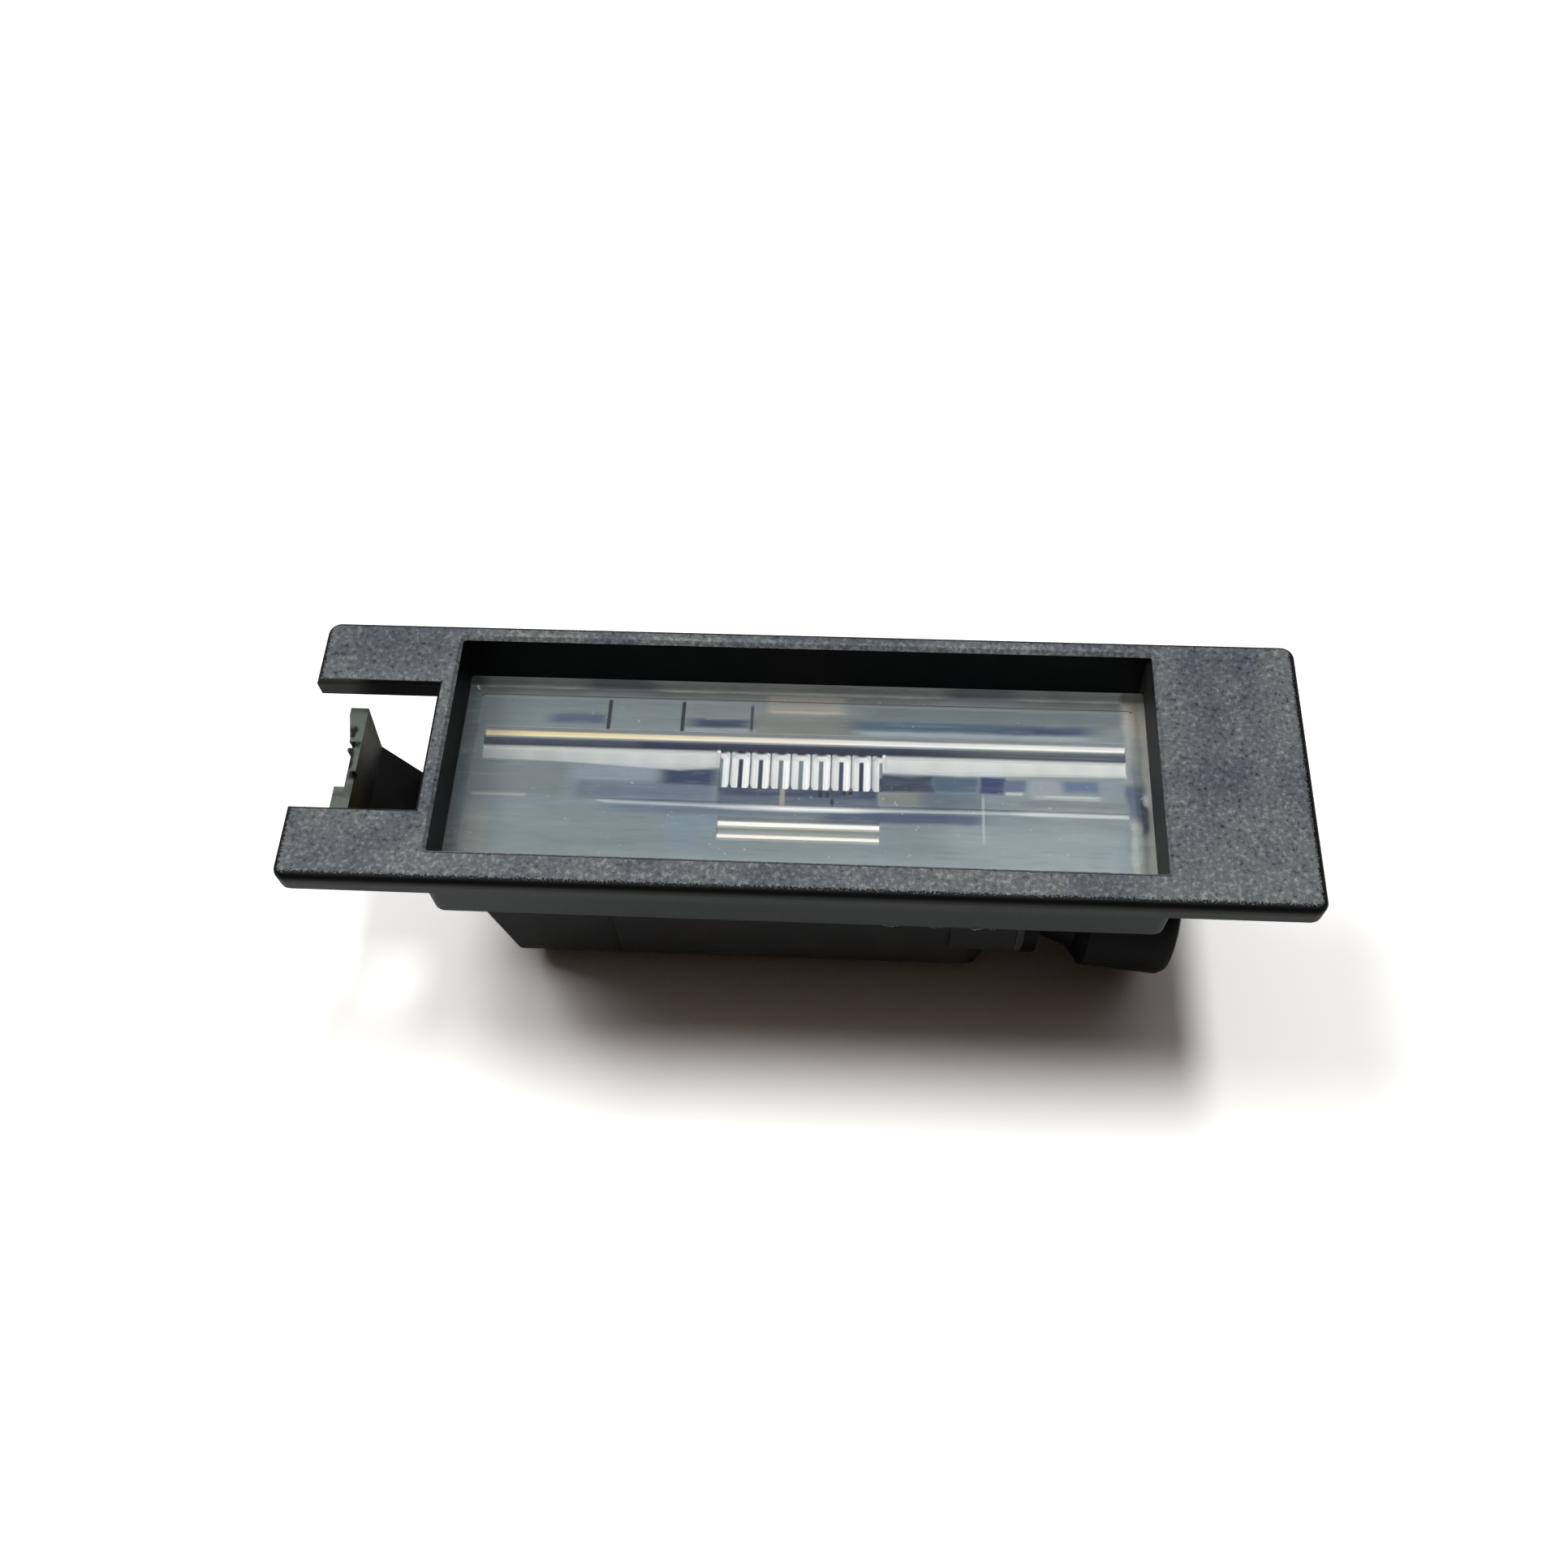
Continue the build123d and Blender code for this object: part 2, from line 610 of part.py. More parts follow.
# Bulb holder: barrel with bayonet lugs, stop flange, neck and round knob with the connector socket
with BuildPart() as bulb_holder:
    with BuildSketch(axial):
        with BuildLine():
            Polyline(
                (barrel_x0, 0),
                (barrel_x0, barrel_r - barrel_edge),
                (barrel_x0 + barrel_edge, barrel_r),
                (stop_x0, barrel_r),
                (stop_x0, stop_r),
                (stop_x1, stop_r),
                (stop_x1, barrel_r),
                (knob_x0, knob_r - knob_neck_in),
                (knob_x0, knob_r - knob_front_in),
                (knob_x0 + knob_step, knob_r - knob_step_in),
                (knob_x1 - knob_edge, knob_r),
                (knob_x1 - knob_edge_mid, knob_r - knob_edge_mid),
                (knob_x1, knob_r - knob_edge),
                (knob_x1, 0),
                close=True,
            )
        make_face()
    revolve(axis=bulb_axis)
    for i in range(lug_count):
        with BuildSketch(turned_plane(first_lug_deg + i * 360 / lug_count - lug_deg / 2)):
            with Locations((lug_x, barrel_r)):
                Rectangle(lug_t, 2 * lug_h)
        revolve(axis=bulb_axis, revolution_arc=lug_deg)
    # slot for the wedge base and the contact strips
    slot_z0 = -wedge_t / 2 - slot_clear
    slot_z1 = contact_z + contact_t / 2 + slot_clear
    with BuildSketch(cross.offset(barrel_x0)):
        with Locations((0, (slot_z0 + slot_z1) / 2)):
            Rectangle(2 * (wedge_half_w + slot_clear), slot_z1 - slot_z0)
    extrude(amount=wedge_x1 + slot_depth - barrel_x0, mode=Mode.SUBTRACT)
    # connector socket with its key rib
    with BuildSketch(cross.offset(socket_floor_x)):
        RectangleRounded(2 * socket_half_w, 2 * socket_half_h, socket_corner_r)
        with Locations((0, key_h / 2 - socket_half_h)):
            Rectangle(key_w, key_h, mode=Mode.SUBTRACT)
    extrude(amount=knob_x1 - socket_floor_x, mode=Mode.SUBTRACT)
    add(contact_front, mode=Mode.SUBTRACT)
    add(contact_rear, mode=Mode.SUBTRACT)
bulb_holder.part.label = "bulb_holder"
export_step(bulb_holder.part, "parts/bulb_holder.step")

# Seal ring on the barrel in front of the stop flange
with BuildPart() as holder_seal:
    with BuildSketch(cross.offset(port_x1 + seal_gap)):
        Circle(stop_r - seal_lip)
        Circle(barrel_r + seal_clear, mode=Mode.SUBTRACT)
    extrude(amount=seal_t)
holder_seal.part.label = "holder_seal"
export_step(holder_seal.part, "parts/holder_seal.step")
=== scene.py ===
import json
import math
import bpy
import numpy as np
from mathutils import Matrix

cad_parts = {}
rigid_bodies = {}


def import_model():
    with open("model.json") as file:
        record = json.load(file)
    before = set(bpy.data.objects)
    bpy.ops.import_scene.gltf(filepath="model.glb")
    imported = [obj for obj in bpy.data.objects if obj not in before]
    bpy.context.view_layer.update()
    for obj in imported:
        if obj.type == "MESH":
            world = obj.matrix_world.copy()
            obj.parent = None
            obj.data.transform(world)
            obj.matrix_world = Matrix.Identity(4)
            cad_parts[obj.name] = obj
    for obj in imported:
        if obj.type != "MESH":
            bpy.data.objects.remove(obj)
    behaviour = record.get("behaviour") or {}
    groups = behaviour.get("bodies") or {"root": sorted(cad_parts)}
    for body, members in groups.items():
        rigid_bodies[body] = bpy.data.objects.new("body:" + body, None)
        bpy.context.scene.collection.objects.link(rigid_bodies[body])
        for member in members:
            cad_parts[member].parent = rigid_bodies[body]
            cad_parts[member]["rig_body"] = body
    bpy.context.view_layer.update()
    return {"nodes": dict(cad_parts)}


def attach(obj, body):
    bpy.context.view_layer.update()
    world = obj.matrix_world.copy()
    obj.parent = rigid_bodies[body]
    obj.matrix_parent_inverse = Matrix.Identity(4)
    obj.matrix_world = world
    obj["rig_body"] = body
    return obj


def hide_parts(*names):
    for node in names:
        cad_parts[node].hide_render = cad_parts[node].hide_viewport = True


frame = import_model()
nodes = frame["nodes"]
mm = 0.001
print("frame loaded:", len(nodes), "nodes")


def putMesh(name, points, faces, smooth=True, sharpDeg=None):
    # points in mm become one mesh object at the origin; edges over sharpDeg stay crisp
    mesh = bpy.data.meshes.new(name)
    mesh.from_pydata((np.asarray(points, float) * mm).tolist(), [], [list(map(int, f)) for f in faces])
    mesh.validate()
    mesh.polygons.foreach_set("use_smooth", np.full(len(mesh.polygons), smooth))
    if sharpDeg is not None:
        mesh.set_sharp_from_angle(angle=math.radians(sharpDeg))
    mesh.update()
    piece = bpy.data.objects.new(name, mesh)
    bpy.context.scene.collection.objects.link(piece)
    return piece


def gridFaces(nu, nv, closeV=False):
    # quads of a nu by nv grid of points stored row by row; closeV joins each row's ends
    u = np.arange(nu - 1)
    v = np.arange(nv if closeV else nv - 1)
    i, j = np.meshgrid(u, v, indexing="ij")
    j2 = (j + 1) % nv
    quads = np.stack([i * nv + j, (i + 1) * nv + j, (i + 1) * nv + j2, i * nv + j2], axis=-1)
    return quads.reshape(-1, 4)


def smoothCopy(node, name, sharpDeg=35):
    # merged copy of a CAD node's loose triangles, so its rounds shade smoothly: points that agree
    # to seven decimals of a metre become one, and triangles that lose a corner go
    source = nodes[node].data
    co = np.zeros(len(source.vertices) * 3)
    source.vertices.foreach_get("co", co)
    tri = np.zeros(len(source.loops), int)
    source.loops.foreach_get("vertex_index", tri)
    keys, back = np.unique(np.round(co.reshape(-1, 3), 7), axis=0, return_inverse=True)
    tri = back.reshape(-1)[tri].reshape(-1, 3)
    whole = (tri[:, 0] != tri[:, 1]) & (tri[:, 1] != tri[:, 2]) & (tri[:, 2] != tri[:, 0])
    piece = putMesh(name, keys / mm, tri[whole], True, sharpDeg)
    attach(piece, nodes[node]["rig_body"])
    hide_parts(node)
    return piece


def addNode(tree, kind, **values):
    # a new node; each value goes into the input of its name, or else into the node's own setting
    made = tree.nodes.new(kind)
    for key, value in values.items():
        if key in made.inputs:
            made.inputs[key].default_value = value
        else:
            setattr(made, key, value)
    return made


def feed(tree, value, socket):
    # links an output, or sets a plain number or colour
    if hasattr(value, "is_output"):
        tree.links.new(value, socket)
    elif isinstance(value, (tuple, list)):
        socket.default_value = (*value, 1.0)
    else:
        socket.default_value = value


def calc(tree, operation, first, *others):
    # the sum, product, largest or other result of all the values, taken from the left
    result = first
    for value in others or (0.0,):
        made = addNode(tree, "ShaderNodeMath", operation=operation)
        feed(tree, result, made.inputs[0])
        feed(tree, value, made.inputs[1])
        result = made.outputs[0]
    return result


def outside(tree, mask):
    # 1 less the mask
    return calc(tree, "SUBTRACT", 1.0, mask)


def between(tree, value, low, high, toLow=0.0, toHigh=1.0):
    # smooth step from toLow at low to toHigh at high
    made = addNode(tree, "ShaderNodeMapRange", interpolation_type="SMOOTHSTEP")
    feed(tree, value, made.inputs["Value"])
    made.inputs["From Min"].default_value = low
    made.inputs["From Max"].default_value = high
    made.inputs["To Min"].default_value = toLow
    made.inputs["To Max"].default_value = toHigh
    return made.outputs["Result"]


def betweenMm(tree, value, low, high, toLow=0.0, toHigh=1.0):
    # the same step for a length, with low and high in mm
    return between(tree, value, low * mm, high * mm, toLow, toHigh)


def mixColour(tree, fac, a, b, mode="MIX"):
    # colour a turned to colour b by the share fac
    made = addNode(tree, "ShaderNodeMix", data_type="RGBA", blend_type=mode)
    feed(tree, fac, made.inputs[0])
    feed(tree, a, made.inputs[6])
    feed(tree, b, made.inputs[7])
    return made.outputs[2]


def mixShader(tree, fac, a, b):
    # shader a turned to shader b by the share fac
    made = addNode(tree, "ShaderNodeMixShader")
    for value, socket in zip((fac, a.outputs[0], b.outputs[0]), made.inputs):
        tree.links.new(value, socket)
    return made


def toSurface(tree, shader):
    # the shader becomes the material's surface
    tree.links.new(shader.outputs[0], tree.nodes["Material Output"].inputs["Surface"])


def noise(tree, coords, scale, detail=3.0, rough=0.55):
    # random values about 0.5, with scale humps to the metre
    made = addNode(tree, "ShaderNodeTexNoise", Scale=scale, Detail=detail, Roughness=rough)
    tree.links.new(coords, made.inputs["Vector"])
    return made.outputs["Fac"]


def ramp(tree, fac, stops):
    # a colour at each place from 0 to 1, blended evenly from one to the next
    made = addNode(tree, "ShaderNodeValToRGB")
    elements = made.color_ramp.elements
    while len(elements) < len(stops):
        elements.new(0.5)
    for element, (place, colour) in zip(elements, stops):
        element.position = place
        element.color = (*colour, 1.0)
    tree.links.new(fac, made.inputs["Fac"])
    return made.outputs["Color"]


def bump(tree, shader, height, strength, distance):
    # shades the surface as if raised by height times distance mm
    made = addNode(tree, "ShaderNodeBump", Strength=strength, Distance=distance * mm)
    tree.links.new(height, made.inputs["Height"])
    tree.links.new(made.outputs["Normal"], shader.inputs["Normal"])


def drawnOut(tree, coords, share):
    # the position with X shrunk to share, so that noise on it runs in streaks along X
    made = addNode(tree, "ShaderNodeMapping", Scale=(share, 1.0, 1.0))
    tree.links.new(coords, made.inputs["Vector"])
    return made.outputs[0]


def wander(tree, coords, scale, reachX, reachY):
    # the position's three numbers, moved by noise up to half of each reach (mm) either way
    drift = addNode(tree, "ShaderNodeTexNoise", Scale=scale, Detail=2.0)
    tree.links.new(coords, drift.inputs["Vector"])
    step = addNode(tree, "ShaderNodeVectorMath", operation="MULTIPLY_ADD")
    tree.links.new(drift.outputs["Color"], step.inputs[0])
    step.inputs[1].default_value = (reachX * mm, reachY * mm, 0)
    step.inputs[2].default_value = (-reachX / 2 * mm, -reachY / 2 * mm, 0)
    moved = addNode(tree, "ShaderNodeVectorMath", operation="ADD")
    tree.links.new(coords, moved.inputs[0])
    tree.links.new(step.outputs[0], moved.inputs[1])
    parts = addNode(tree, "ShaderNodeSeparateXYZ")
    tree.links.new(moved.outputs[0], parts.inputs[0])
    return parts.outputs


def startLook(name, *pieces):
    # a new node material on the pieces: its tree and shader, the object position, that position's
    # three numbers, and the three numbers of the object-space normal
    mat = bpy.data.materials.new(name)
    mat.use_nodes = True
    tree = mat.node_tree
    for piece in pieces:
        piece.data.materials.append(mat)
    made = addNode(tree, "ShaderNodeTexCoord")
    place = addNode(tree, "ShaderNodeSeparateXYZ")
    tree.links.new(made.outputs["Object"], place.inputs[0])
    facing = addNode(tree, "ShaderNodeSeparateXYZ")
    tree.links.new(made.outputs["Normal"], facing.inputs[0])
    return tree, tree.nodes["Principled BSDF"], made.outputs["Object"], place.outputs, facing.outputs


def twoTone(name, look, *pieces):
    # one noise turns the first colour to the second, as it is or over the look's spread, and steps
    # the roughness too unless that is a plain number
    tree, shader, coords = startLook(name, *pieces)[:3]
    if "drawn" in look:
        coords = drawnOut(tree, coords, look["drawn"])
    value = noise(tree, coords, *look["noise"])
    share = between(tree, value, *look["spread"]) if "spread" in look else value
    feed(tree, mixColour(tree, share, *look["colours"]), shader.inputs["Base Color"])
    rough = look["rough"]
    if isinstance(rough, tuple):
        rough = between(tree, value, *rough)
    feed(tree, rough, shader.inputs["Roughness"])
    shader.inputs["Metallic"].default_value = look.get("metallic", 0.0)
    return tree, shader, coords, value


def tone(r, g, b):
    # a colour as seen on screen, 0 to 255, made linear: a power of 2.4, straight near black
    c = np.array([r, g, b]) / 255
    linear = np.where(c <= 0.04045, c / 12.92, ((c + 0.055) / 1.055) ** 2.4)
    return tuple(float(x) for x in linear)


def boxMask(tree, xyz, box, soft):
    # 1 inside the plan rectangle box (mm), falling to 0 over soft mm round its edges, or over a pair
    # of widths, one along X and one along Y
    x0, x1, y0, y1 = box
    softX, softY = soft if isinstance(soft, tuple) else (soft, soft)
    sides = []
    for axis, low, high, fade in (("X", x0, x1, softX), ("Y", y0, y1, softY)):
        off = calc(tree, "ABSOLUTE", calc(tree, "SUBTRACT", xyz[axis], (low + high) / 2 * mm))
        half = (high - low) / 2
        sides.append(betweenMm(tree, off, half - fade / 2, half + fade / 2, 1.0, 0.0))
    return calc(tree, "MULTIPLY", *sides)


def seenShare(tree, inGloss):
    # 1 to the camera, inGloss in gloss and through glass, 0 to light that bounces
    path = addNode(tree, "ShaderNodeLightPath")
    gloss = calc(tree, "MAXIMUM", path.outputs["Is Glossy Ray"], path.outputs["Is Transmission Ray"])
    return calc(tree, "MAXIMUM", path.outputs["Is Camera Ray"], calc(tree, "MULTIPLY", gloss, inGloss))


def letLampsThrough(tree, shader):
    # lamp rays pass the clear plastic or glass, so they reach what lies behind it
    path = addNode(tree, "ShaderNodeLightPath")
    clear = addNode(tree, "ShaderNodeBsdfTransparent")
    toSurface(tree, mixShader(tree, path.outputs["Is Shadow Ray"], shader, clear))


view = {
    "place": (3.77217, -53.57246, 119.22466),  # mm
    "right": (0.99856, 0.04771, -0.02446),
    "down": (0.03, -0.87538, -0.48251),
    "forward": (-0.04443, 0.48108, -0.87555),
    "focal": 1816.23, "frame": 1932,  # both in picture points
    "sensor": 36, "nearest": 0.005,  # mm and m
}
camData = bpy.data.cameras.new("photoCamera")
camData.sensor_width = view["sensor"]
camData.lens = view["focal"] / view["frame"] * view["sensor"]
camData.clip_start = view["nearest"]
camera = bpy.data.objects.new("photoCamera", camData)
turn = np.eye(4)
turn[:3, :3] = np.array([view["right"], np.negative(view["down"]), np.negative(view["forward"])]).T
turn[:3, 3] = np.array(view["place"]) * mm
camera.matrix_world = Matrix(turn.tolist())
bpy.context.scene.collection.objects.link(camera)
bpy.context.scene.camera = camera
print("camera set")

floorLook = {
    "half": 1500,  # mm
    "cloud": 6.0, "tints": [(0.3, (0.955, 0.945, 0.93)), (0.7, (0.97, 0.962, 0.95))],
    "rough": 0.6, "specular": 0.15,
    "paper": (1.95, 1.95, 1.93), "even": (1, 1, 1),
    "inGloss": 0.3,  # share of the paper seen in gloss and through glass
    "fade": (300, 800),  # mm from the middle, where it turns to an even white
}
h = floorLook["half"]
floor = putMesh("floor", [(-h, -h, 0), (h, -h, 0), (h, h, 0), (-h, h, 0)], [(0, 1, 2, 3)], False)
tree, shader, coords = startLook("paleTable", floor)[:3]
tint = ramp(tree, noise(tree, coords, floorLook["cloud"]), floorLook["tints"])
feed(tree, tint, shader.inputs["Base Color"])
shader.inputs["Roughness"].default_value = floorLook["rough"]
shader.inputs["Specular IOR Level"].default_value = floorLook["specular"]
# to the camera the floor is over-bright paper, and partly so in gloss and through glass, while
# the light that it bounces is plain
paper = addNode(tree, "ShaderNodeBsdfDiffuse", Color=(*floorLook["paper"], 1))
even = addNode(tree, "ShaderNodeEmission", Color=(*floorLook["even"], 1))
away = addNode(tree, "ShaderNodeVectorMath", operation="LENGTH")
tree.links.new(coords, away.inputs[0])
wide = mixShader(tree, betweenMm(tree, away.outputs["Value"], *floorLook["fade"]), paper, even)
toSurface(tree, mixShader(tree, seenShare(tree, floorLook["inGloss"]), shader, wide))

light = {
    "sky": 0.5,  # brightness overhead and behind
    "low": 0.009,  # brightness near the horizon
    "front": 0.02, "right": 0.3,  # shares left on the viewer's side and on the right
    "warm": (1.0, 0.7, 0.42), "white": (1.0, 1.0, 1.0),
    "inGloss": 0.3,  # share of the white room seen in gloss
    # parts of the direction, from and to: up, back and right for the brightness, up for the
    # white, and up for the gloss
    "up": (0.35, 0.8), "back": (-0.35, 0.3), "across": (0.2, 0.75),
    "whiteUp": (0.1, 0.5), "glossUp": (0.0, 0.3),
    # place in m, width, depth, watts
    "lamps": [((0.175, 0.2, 1.0), 0.16, 0.42, 3.5), ((-0.58, 0.28, 0.93), 0.5, 0.5, 4.7)],
}
world = bpy.data.worlds.new("softRoom")
bpy.context.scene.world = world
world.use_nodes = True
tree = world.node_tree
aim = addNode(tree, "ShaderNodeTexCoord")
part = addNode(tree, "ShaderNodeSeparateXYZ")
tree.links.new(aim.outputs["Generated"], part.inputs[0])
toX, toY, toZ = part.outputs
lift = calc(tree, "MULTIPLY", between(tree, toZ, *light["up"], 0.0, light["sky"]),
            between(tree, toY, *light["back"], light["front"], 1.0),
            between(tree, toX, *light["across"], 1.0, light["right"]))
total = calc(tree, "ADD", lift, light["low"])
white = calc(tree, "MULTIPLY", between(tree, toY, *light["back"]), between(tree, toZ, *light["whiteUp"]))
# to the camera the room is white, and partly so in gloss and through glass near the horizon
seen = seenShare(tree, between(tree, toZ, *light["glossUp"], light["inGloss"], 0.0))
white = calc(tree, "MAXIMUM", white, seen)
back = tree.nodes["Background"]
feed(tree, mixColour(tree, white, light["warm"], light["white"]), back.inputs["Color"])
feed(tree, calc(tree, "MAXIMUM", total, seen), back.inputs["Strength"])
for place, wide, deep, watts in light["lamps"]:
    lampData = bpy.data.lights.new("softLamp", "AREA")
    lampData.shape = "ELLIPSE"
    lampData.size = wide
    lampData.size_y = deep
    lampData.energy = watts
    lamp = bpy.data.objects.new("softLamp", lampData)
    away = np.array(place) / np.linalg.norm(place)  # lamps face the origin
    side = np.cross((0, 1, 0), away)
    side /= np.linalg.norm(side)
    pose = np.eye(4)
    pose[:3, :3] = np.array([side, np.cross(away, side), away]).T
    pose[:3, 3] = place
    lamp.matrix_world = Matrix(pose.tolist())
    bpy.context.scene.collection.objects.link(lamp)
bpy.context.scene.view_settings.view_transform = "Standard"
print("floor and light set")

bezelLook = {
    # plan boxes in mm, x from and to and y from and to, each with the softness of its edge
    "face": ((-36.6, 36.52, -10.42, 10.72), 0.2),
    "window": ((-26.6, 26.0, -8.7, 10.0), 0.3),
    "windowEdge": ((-27.3, 27.3, -8.55, 10.55), 0.2),
    "rail": ((-40, 40, -11, -8.4), 1.6),
    "farLip": ((-27.4, 27.4, 9.6, 10.3), 0.3),
    "notch": ((-37.6, -27.6, -5.6, 5.9), 0.3),
    "rightWall": ((26.2, 26.9, -8.6, 9.5), 0.3),
    "armWall": ((-38, -33.6, 5.2, 5.8), (2.4, 0.2)),
    "smudges": [(28, 34.5, 2.5, 11), (28.5, 33, -2.5, 1.5), (-3, 26, 9.9, 11.2),
                (-8, 3, -11, -8.6), (-34, -30, 8, 11)],
    "smudgeSoft": 3.0,
    # heights in mm, and upward parts of the normal, from and to
    "faceLevel": (25.58, 25.76), "lipLevel": (25.3, 25.5),
    "rimLevel": (24.8, 25.2), "rightLevel": (25.6, 25.4),
    "faceTurn": (0.9, 0.985), "lipTurn": (0.3, 0.6),
    "ragged": 0.9,  # mm, how far the face's edge wanders
    # noises: scale, detail, roughness
    "grain": (2800.0, 2.0, 0.6), "fine": (6200.0, 2.0, 0.6), "cloud": (150.0, 3.0, 0.5),
    "shares": (0.7, 0.3, 0.025),  # grain, fine grain, and edge wear with painted highlight in the specks
    "lipWearAndSheen": 2.4,  # edge wear and painted highlight of the far lip, the near rail's being 1
    # place on the specks' scale, colour
    "specks": [(0.345, (0.05, 0.055, 0.063)), (0.42, (0.142, 0.152, 0.16)),
               (0.555, (0.194, 0.207, 0.214)), (0.665, (0.36, 0.373, 0.374))],
    # steps on a noise: from, to, and the values there
    "clouds": (0.5, 0.68, 0.0, 0.5), "smudge": (0.36, 0.56, 0.1, 0.7), "scuffs": (0.45, 0.7, 0.0, 0.35),
    "smudgeTint": (0.42, 0.5, 0.64),
    # well and notchDark are painted shade: near black in the window's recess and on the band below the
    # face, dark in the notch
    "side": (0.05, 0.06, 0.061), "scuff": (0.075, 0.084, 0.084), "well": (0.0034, 0.0038, 0.0042),
    # rightGrey and armGrey are painted light: paler grey where lamp light falls on the window's right
    # wall and on the left arm's wall
    "notchDark": (0.0135, 0.0165, 0.017), "rightGrey": (0.03, 0.03, 0.029),
    "armGrey": (0.05, 0.052, 0.048),
    "rough": (0.5, 0.62),  # walls and face
    "specular": 0.14, "bump": (0.5, 0.08),  # bump's strength and mm
}
bezel = smoothCopy("front_frame", "bezelFrame")
tree, shader, coords, xyz, facing = startLook("grainedPlastic", bezel)
grain = noise(tree, coords, *bezelLook["grain"])
fine = noise(tree, coords, *bezelLook["fine"])
cloud = noise(tree, coords, *bezelLook["cloud"])
# the near rail and the far lip get lighter specks: edge wear, and painted highlight on their rounded
# edges
lipWearAndSheen = calc(tree, "MULTIPLY", boxMask(tree, xyz, *bezelLook["farLip"]), bezelLook["lipWearAndSheen"])
wearAndSheen = calc(tree, "ADD", boxMask(tree, xyz, *bezelLook["rail"]), lipWearAndSheen)
weighed = zip((grain, fine, wearAndSheen), bezelLook["shares"])
speck = calc(tree, "ADD", *[calc(tree, "MULTIPLY", value, share) for value, share in weighed])
top = ramp(tree, speck, bezelLook["specks"])
shade = between(tree, cloud, *bezelLook["clouds"])
smudge = between(tree, cloud, *bezelLook["smudge"])
for box in bezelLook["smudges"]:
    patch = calc(tree, "MULTIPLY", boxMask(tree, xyz, box, bezelLook["smudgeSoft"]), smudge)
    shade = calc(tree, "MAXIMUM", shade, patch)
top = mixColour(tree, shade, top, bezelLook["smudgeTint"], "MULTIPLY")
# the grained face with a ragged edge, and the window's lip
jitter = calc(tree, "MULTIPLY", calc(tree, "SUBTRACT", fine, 0.5), bezelLook["ragged"] * mm)
jagged = {axis: calc(tree, "ADD", xyz[axis], jitter) for axis in ("X", "Y")}
flat = calc(tree, "MULTIPLY", between(tree, facing["Z"], *bezelLook["faceTurn"]),
            betweenMm(tree, xyz["Z"], *bezelLook["faceLevel"]),
            boxMask(tree, jagged, *bezelLook["face"]))
lip = calc(tree, "MULTIPLY", between(tree, facing["Z"], *bezelLook["lipTurn"]),
           boxMask(tree, xyz, *bezelLook["windowEdge"]),
           betweenMm(tree, xyz["Z"], *bezelLook["lipLevel"]))
onTop = calc(tree, "MAXIMUM", flat, lip)
# the sides, with painted shade that darkens the well, the rim band below the face and the notch, and
# with the paler walls, which are painted light
inWell = boxMask(tree, xyz, *bezelLook["window"])
rim = betweenMm(tree, xyz["Z"], *bezelLook["rimLevel"])
inNotch = boxMask(tree, xyz, *bezelLook["notch"])
walls = mixColour(tree, inNotch, bezelLook["side"], bezelLook["notchDark"])
walls = mixColour(tree, calc(tree, "MAXIMUM", inWell, rim), walls, bezelLook["well"])
# painted light on the window's right wall near the top, and on the left arm's wall
right = calc(tree, "MULTIPLY", boxMask(tree, xyz, *bezelLook["rightWall"]),
             betweenMm(tree, xyz["Z"], *bezelLook["rightLevel"]))
walls = mixColour(tree, right, walls, bezelLook["rightGrey"])
walls = mixColour(tree, boxMask(tree, xyz, *bezelLook["armWall"]), walls, bezelLook["armGrey"])
scuffs = calc(tree, "MULTIPLY", between(tree, fine, *bezelLook["scuffs"]), outside(tree, inWell),
              outside(tree, calc(tree, "MAXIMUM", rim, inNotch)))
walls = mixColour(tree, scuffs, walls, bezelLook["scuff"])
feed(tree, mixColour(tree, onTop, walls, top), shader.inputs["Base Color"])
feed(tree, between(tree, onTop, 0.0, 1.0, *bezelLook["rough"]), shader.inputs["Roughness"])
shader.inputs["Specular IOR Level"].default_value = bezelLook["specular"]
bump(tree, shader, calc(tree, "MULTIPLY", speck, onTop), *bezelLook["bump"])
print("bezel dressed")

